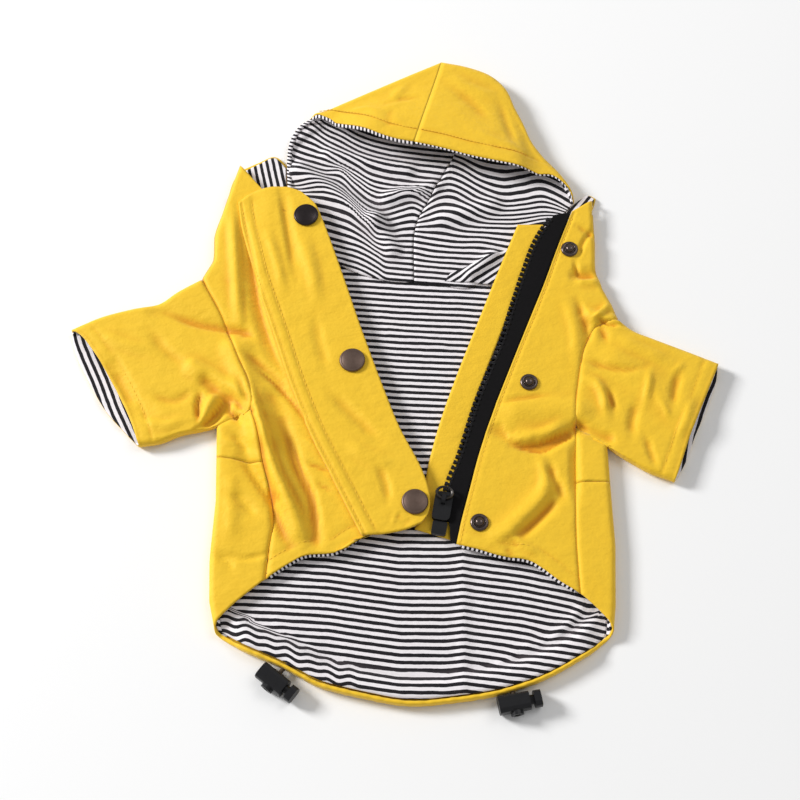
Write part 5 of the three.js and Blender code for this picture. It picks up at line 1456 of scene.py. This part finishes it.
def hood_surface(plan, crown, brim, columns, inset):
    """Hood cloth from the neck, over the floor, round the crown fold and back to the brim."""
    fold, rim = curve(crown, even=False), curve(brim, even=False)
    floor_rows, turn_rows, back_rows = HOOD_ROWS.values()
    half = CROWN_HEIGHT / 2
    found = []
    for a in np.linspace(0, 1, columns + 1):
        start, end, back = plan(a, 0.0), fold(a), rim(a)
        length = float(np.linalg.norm(end - start))
        returned = float(np.linalg.norm(end - back))
        curled = CURL_LEAST + (1 - CURL_LEAST) * float(smooth_step(0, CURL_FULL, returned))
        laid_back = float(smooth_step(CURL_FULL * 0.7, CURL_FULL * 1.6, returned))
        reach = CROWN_RADIUS * math.sin(math.pi * min(curled, 0.5))
        outward = (end - start) / length
        if returned > 0.5:
            outward = outward + (end - back) / returned
        outward = outward / np.linalg.norm(outward)
        centre = end - outward * reach
        column = []
        for row in range(floor_rows + 1):
            point = plan(a, (length - reach) / length * row / floor_rows)
            column.append((*point, inset))
        back_length = max(returned - CROWN_RADIUS, 0.0)
        for step in range(1, turn_rows + back_rows + 1):
            on_arc = curled * CROWN_TURN * step / (turn_rows + back_rows)
            full = CROWN_TURN * min(step / turn_rows, 1) + back_length * max(step - turn_rows, 0) / back_rows
            travelled = on_arc + (full - on_arc) * laid_back
            if travelled < CROWN_TURN:
                angle = math.pi * (travelled / CROWN_TURN - 0.5)
                point = centre + outward * (CROWN_RADIUS - inset) * math.cos(angle)
                column.append((*point, half + (half - inset) * math.sin(angle)))
                continue
            share = (travelled - CROWN_TURN) / back_length if back_length else 0.0
            point = centre + (back - centre) * share
            column.append((*point, CROWN_HEIGHT - inset + brim_rise(share, returned)))
        found.append(column)
    return np.array(found).transpose(1, 0, 2)


def stripe_numbers(guides, x, y):
    """Stripe number at plan points, between the given guide stripes."""
    order = sorted(guides, key=lambda guide: guide[0])
    lines = []
    for _, points in order:
        line = curve(points)(np.linspace(0, 1, 200))
        rank = np.argsort(line[:, 0])
        lines.append(np.interp(x, line[rank, 0], line[rank, 1]))
    numbers = [number for number, _ in order]
    found = np.full(np.shape(x), np.nan)
    for k in range(len(order) - 1):
        span = np.maximum(lines[k] - lines[k + 1], 0.8)
        share = (lines[k] - y) / span
        value = numbers[k] + share * (numbers[k + 1] - numbers[k])
        found = np.where((y <= lines[k]) & (y > lines[k + 1]), value, found)
    above = numbers[0] - (y - lines[0]) / STRIPE
    below = numbers[-1] + (lines[-1] - y) / STRIPE
    found = np.where(y > lines[0], above, found)
    return np.where(y <= lines[-1], below, found)


def hood():
    seam = curve(HOOD_SEAM)
    halves = [
        ("left", CROWN_LEFT, BRIM_LEFT, HOOD_GUIDES_LEFT,
         patch(curve(NECK_MIDDLE_LEFT), curve(CROWN_LEFT, False), curve(HOOD_SIDE_LEFT),
               shifted(seam, -GAP / 2, 0))),
        ("right", CROWN_RIGHT, BRIM_RIGHT, HOOD_GUIDES_RIGHT,
         patch(curve(NECK_MIDDLE_RIGHT), curve(CROWN_RIGHT, False), shifted(seam, GAP / 2, 0),
               curve(HOOD_SIDE_RIGHT))),
    ]
    for side, crown, brim, guides, plan in halves:
        outer = hood_surface(plan, crown, brim, cells(90), 0.0)
        laid = outer[..., 2] > CROWN_HEIGHT * 0.8
        outer[..., 2] += np.where(laid, creased(BRIM_CREASES, outer[..., 0], outer[..., 1]), 0)
        edge = distance_to(curve(brim), outer[..., 0], outer[..., 1], 80)
        dent = -BRIM_ROW["depth"] * np.exp(-(((edge - BRIM_ROW["inside"]) / BRIM_ROW["width"]) ** 2))
        outer[..., 2] += np.where(laid, dent, 0)
        # Painted crease shade, only on the laid-back face
        painted_shade = dip_shade(outer[..., 2])[:, ::-1] * laid[:, ::-1]
        outer = outer[:, ::-1]
        piece = cloth(f"hood_{side}_cloth", outer, WALL["hood"], YELLOW, flat_map(outer), f"hood_{side}",
                      painted_shade=painted_shade)
        crown_lining(side, plan, crown, brim)
        floor_lining(side, plan, guides)
    brim_stitches()


def crown_lining(side, plan, crown, brim):
    """Lining of the hood's laid-back crown, which shows under the brim."""
    inner = hood_surface(plan, crown, brim, 40, SHELL + GAP + CROWN_EASE)
    part = inner[HOOD_ROWS["floor"] + CROWN_UNLINED:-1, ::-1]
    piece = cloth(f"crown_lining_{side}", part, WALL["crown_lining"], STRIPED, flat_map(part),
                  extra=[edging(inner[-1], *BRIM_EDGING[side])])


# Turned edges of lining: at the brim as (step across, lift), and beside the hood's left edge
BRIM_EDGING = {"left": ((0, -1.9, -0.3), 0.9), "right": ((0, -0.9, -0.2), 0.9)}
SIDE_EDGING = [(-62.2, 127), (-63, 144), (-62, 156), (-57, 165.5), (-50.5, 170.5)]

# Tuck of the hood's lining: its two long edges, its stripes' turn and share of the pitch, and its rise
TUCK = {"near": [(24, 68.5), (50.4, 66.3)], "far": [(27, 73), (58.7, 88)], "turn": 36.0, "pitch": 0.9,
        "rise": 1.1}


def edging(line, width, lift):
    """Narrow strip of lining turned over an edge, so that its stripes cross it."""
    top = np.stack([line + np.array([0, 0, lift]), line + np.array(width) + np.array([0, 0, lift])])
    numbers = np.broadcast_to(run_lengths(line) / EDGING_PITCH, top.shape[:2])
    return (top, WALL["edging"], flat_map(top, numbers), None, False)


def tuck():
    """Fold of the hood's lining laid over the neck seam, its stripes aslant."""
    near, far = TUCK["near"], TUCK["far"]
    plan = patch(straight(*near), straight(*far), straight(near[0], far[0]), straight(near[1], far[1]))
    xy = plan(*grid(24, 16))
    turned = math.radians(TUCK["turn"])
    numbers = (xy[..., 1] * math.cos(turned) - xy[..., 0] * math.sin(turned)) / (TUCK["pitch"] * STRIPE)
    z = LINING_TOP + HOOD_EASE + TUCK["rise"] + relief(HOOD_FOLDS, xy[..., 0], xy[..., 1])
    top = with_height(xy, z)
    return (top, WALL["tuck"], flat_map(top, numbers), None, False)


def floor_lining(side, plan, guides):
    """Striped lining of the hood's floor, from its lip over the neck seam to the crown."""
    a, b = grid(cells(95), cells(110))
    length = np.linalg.norm(plan(a, 0.0) - plan(a, 1.0), axis=-1)
    b = b - NECK_LIP * (1 - b)
    xy = plan(a, np.maximum(b, 0) * (1 - LINED_SHORT / length))
    xy[..., 1] -= NECK_LAP * np.clip(-b / NECK_LIP, 0, 1)
    x, y = xy[..., 0], xy[..., 1]
    lip = LIP_HEIGHT * (1 - smooth_step(-0.01, 0.03, b))
    top = with_height(xy, LINING_TOP + HOOD_EASE + relief(HOOD_FOLDS, x, y) + lip)
    numbers = stripe_numbers(guides, x, y)
    piece = cloth(f"hood_lining_{side}_cloth", top, LINING, STRIPED, flat_map(top, numbers),
                  f"hood_lining_{side}", painted_shade=dip_shade(top[..., 2], 3, 0.5),
                  extra=[side_edging() if side == "left" else tuck()])


def side_edging():
    """Turned edge of lining beside the hood's left edge, which climbs towards the brim."""
    line = curve(SIDE_EDGING)(np.linspace(0, 1, 40))
    height = LINING_TOP + HOOD_EASE + 0.6 + 3.0 * smooth_step(150, 170, line[:, 1])
    return edging(np.column_stack([line, height]), (2.4, -0.8, 0.2), 0.0)


def brim_stitches():
    """Fine row of stitches along the brim, on its laid-back face."""
    rows = []
    for side, crown, brim in (("left", CROWN_LEFT, BRIM_LEFT), ("right", CROWN_RIGHT, BRIM_RIGHT)):
        t = np.linspace(*BRIM_ROW[side])
        rim, fold = curve(brim, False)(t), curve(crown, False)(t)
        gap = np.linalg.norm(fold - rim, axis=1)
        share = np.minimum(BRIM_ROW["inside"] / np.maximum(gap, 1), BRIM_ROW["most"])
        xy = rim + (fold - rim) * share[:, None]
        rows.append(np.column_stack([xy, CROWN_HEIGHT + brim_rise(1 - share, gap) - BRIM_ROW["sunk"]]))
    stitches("brim_stitching", rows, pitch=2.0)


# Collars, hem and fittings
def collars():
    """Neck ends beside the hood, each a shell with its lining trimmed and drawn in along its edges."""
    ends = [
        ("left", curve(NECK_LEFT), curve([(-94, 121), (-92, 131), (-88.5, 139)]),
         curve([(-59, 106), (-61, 128), (-61, 141.5)]),
         curve([(-88.5, 139), (-78, 144.5), (-69, 148.5), (-61, 141.5)]), -4 * GAP, (-1.2, -1.4), 3.0),
        ("right", curve(NECK_RIGHT), curve([(84, 105), (90.5, 111.5), (96.5, 117.5)]),
         curve([(104, 111), (106, 116), (107.5, 121)]),
         curve([(96.5, 117.5), (100, 120.5), (104, 123), (107.5, 121)]), 3 * GAP, (-1.2, -0.6), 0.0),
    ]
    for side, near, start, end, far, shift, trim, drawn_in in ends:
        a, b = grid(24, 24)
        xy = patch(near, far, start, end)(a, b) + np.array([shift, GAP])
        outer = with_height(xy, SHELL)
        piece = cloth(f"collar_{side}_cloth", outer, WALL["collar"], YELLOW, flat_map(outer),
                      f"collar_{side}")
        xy = xy + np.stack([trim[0] * b + drawn_in * (1 - a), trim[1] * b], -1)
        inner = with_height(xy, LINING_TOP)
        turned = COLLAR_STRIPES[side]
        numbers = (xy[..., 0] * turned[0] + xy[..., 1] * turned[1]) / STRIPE
        piece = cloth(f"collar_lining_{side}_cloth", inner, LINING, STRIPED, flat_map(inner, numbers),
                      f"collar_lining_{side}")


# Collars: direction across their stripes, and their cut
COLLAR_STRIPES = {"left": (1.0, 0.22), "right": (0.80, -0.60)}


# Ends of the hem's rolled edge beyond the back, how far they curl up, and from where to where in x
HEM_ENDS = {"left": [(-89.8, -122.8), (-88.9, -125.2)], "right": [(101.2, -127.2), (102.8, -124.2)],
            "rise": 2.4, "left_curl": (-86.5, -90), "right_curl": (99.5, 103)}
HEM_SIDES = 16

# Puckers of the rolled edge, as (height, waves along it in radians, start)
HEM_PUCKERS = [(0.12, 260, 0), (0.08, 151, 1)]


def hem_casing():
    """Rolled yellow edge of the back hem, which curls up into both folded sides."""
    t = np.linspace(0, 1, 160)
    line = curve(HEM_ENDS["left"] + BACK_HEM + HEM_ENDS["right"])(t)
    height = LINING_TOP + GAP + casing_lift(line[:, 0], line[:, 1] + HEM_WIDTH + GAP)
    curled = [smooth_step(*HEM_ENDS[end], line[:, 0]) for end in ("left_curl", "right_curl")]
    raised = HEM_ENDS["rise"] * (curled[0] + curled[1])
    puckers = sum(rise * np.sin(t * waves + start) for rise, waves, start in HEM_PUCKERS)
    half = HEM_WIDTH / 2
    points = []
    for (x, y), h, pucker, up in zip(line, height, puckers, raised):
        for a in np.linspace(0, 2 * math.pi, HEM_SIDES, endpoint=False):
            across = y + half + (half + pucker * 0.5) * rounded(math.cos(a))
            points.append((x, across, max(up + h / 2 + (h / 2 + pucker) * rounded(math.sin(a)), 0)))
    faces = [(a, d, c, b) for a, b, c, d in ring_faces(0, len(line), HEM_SIDES)]
    faces.append(tuple(range(HEM_SIDES)))
    faces.append(tuple(range(len(points) - HEM_SIDES, len(points)))[::-1])
    points = np.array(points)
    piece = new_mesh("hem_casing_cloth", points, faces, YELLOW, uv=points[:, :2])
    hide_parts("hem_casing")


def rounded(value):
    """A sine or cosine drawn out, so that a round section comes out squarer."""
    return math.copysign(abs(value) ** 0.7, value)


def fittings():
    """Better finishes and softened edges on the hard parts that the frame already shapes."""
    locks = [f"cord_lock_{part}{lock['side']}" for lock in LOCKS for part in ("", "button_")]
    for name in ["zip_slider", "zip_box", "zip_pull"] + locks:
        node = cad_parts[name]
        ring = name == "zip_pull"
        node.data.materials.clear()
        node.data.materials.append(RING_METAL if ring else BLACK)
        if not ring:
            bevel = node.modifiers.new("bevel", "BEVEL")
            bevel.width = FITTING_BEVEL * MM
            bevel.segments = 2
            bevel.limit_method = "ANGLE"


FITTING_BEVEL = 0.35

# Floor: half its width and how far it lies under the coat, in metres
FLOOR = {"half": 2.5, "under": 0.0004}

# Light of the white surroundings, and lamps as (name, place in metres, power, size in metres)
SURROUNDINGS = 0.37
LAMPS = [("key", (-2.5, 0.9, 1.5), 98.0, 0.8), ("fill", (1.6, 1.0, 2.6), 16.0, 1.6)]


def lights_and_floor():
    mesh = bpy.data.meshes.new("floor")
    half = FLOOR["half"]
    corners = [(-half, -half, 0), (half, -half, 0), (half, half, 0), (-half, half, 0)]
    mesh.from_pydata(corners, [], [(0, 1, 2, 3)])
    floor = new_object("floor", mesh)
    floor.location.z = -FLOOR["under"]
    material, tree, shader = node_tree("floor_white")
    set_inputs(tree, shader, Base_Color=(0.97, 0.97, 0.97, 1), Roughness=0.9)
    mesh.materials.append(material)
    world = bpy.data.worlds.new("studio")
    world.use_nodes = True
    background = world.node_tree.nodes["Background"]
    set_inputs(world.node_tree, background, Color=(1, 1, 1, 1), Strength=SURROUNDINGS)
    bpy.context.scene.world = world
    bpy.context.scene.view_settings.view_transform = "Standard"
    for name, place, power, size in LAMPS:
        data = bpy.data.lights.new(name, "AREA")
        data.energy = power
        data.size = size
        light = new_object(name, data)
        light.location = place
        light.rotation_euler = (-Vector(place)).to_track_quat("-Z", "Y").to_euler()


back_lower()
back_upper()
back_lining()
front_left()
front_right()
snap_flap()
front_facings()
zip_guard()
zip_tape("zip_tape_right", curve(TEETH_EDGE), shifted(curve(ZIP_EDGE), -GAP, 0), TAPE_FLOOR)
left_tape = curve(LEFT_TAPE)
zip_tape("zip_tape_left", shifted(left_tape, -5, 0), shifted(left_tape, 4.5, 0), LEFT_TAPE_FLOOR)
zip_teeth()
snaps()
sleeves()
hood()
collars()
hem_casing()
fittings()
stitches("topstitching", STITCH_ROWS)
lights_and_floor()
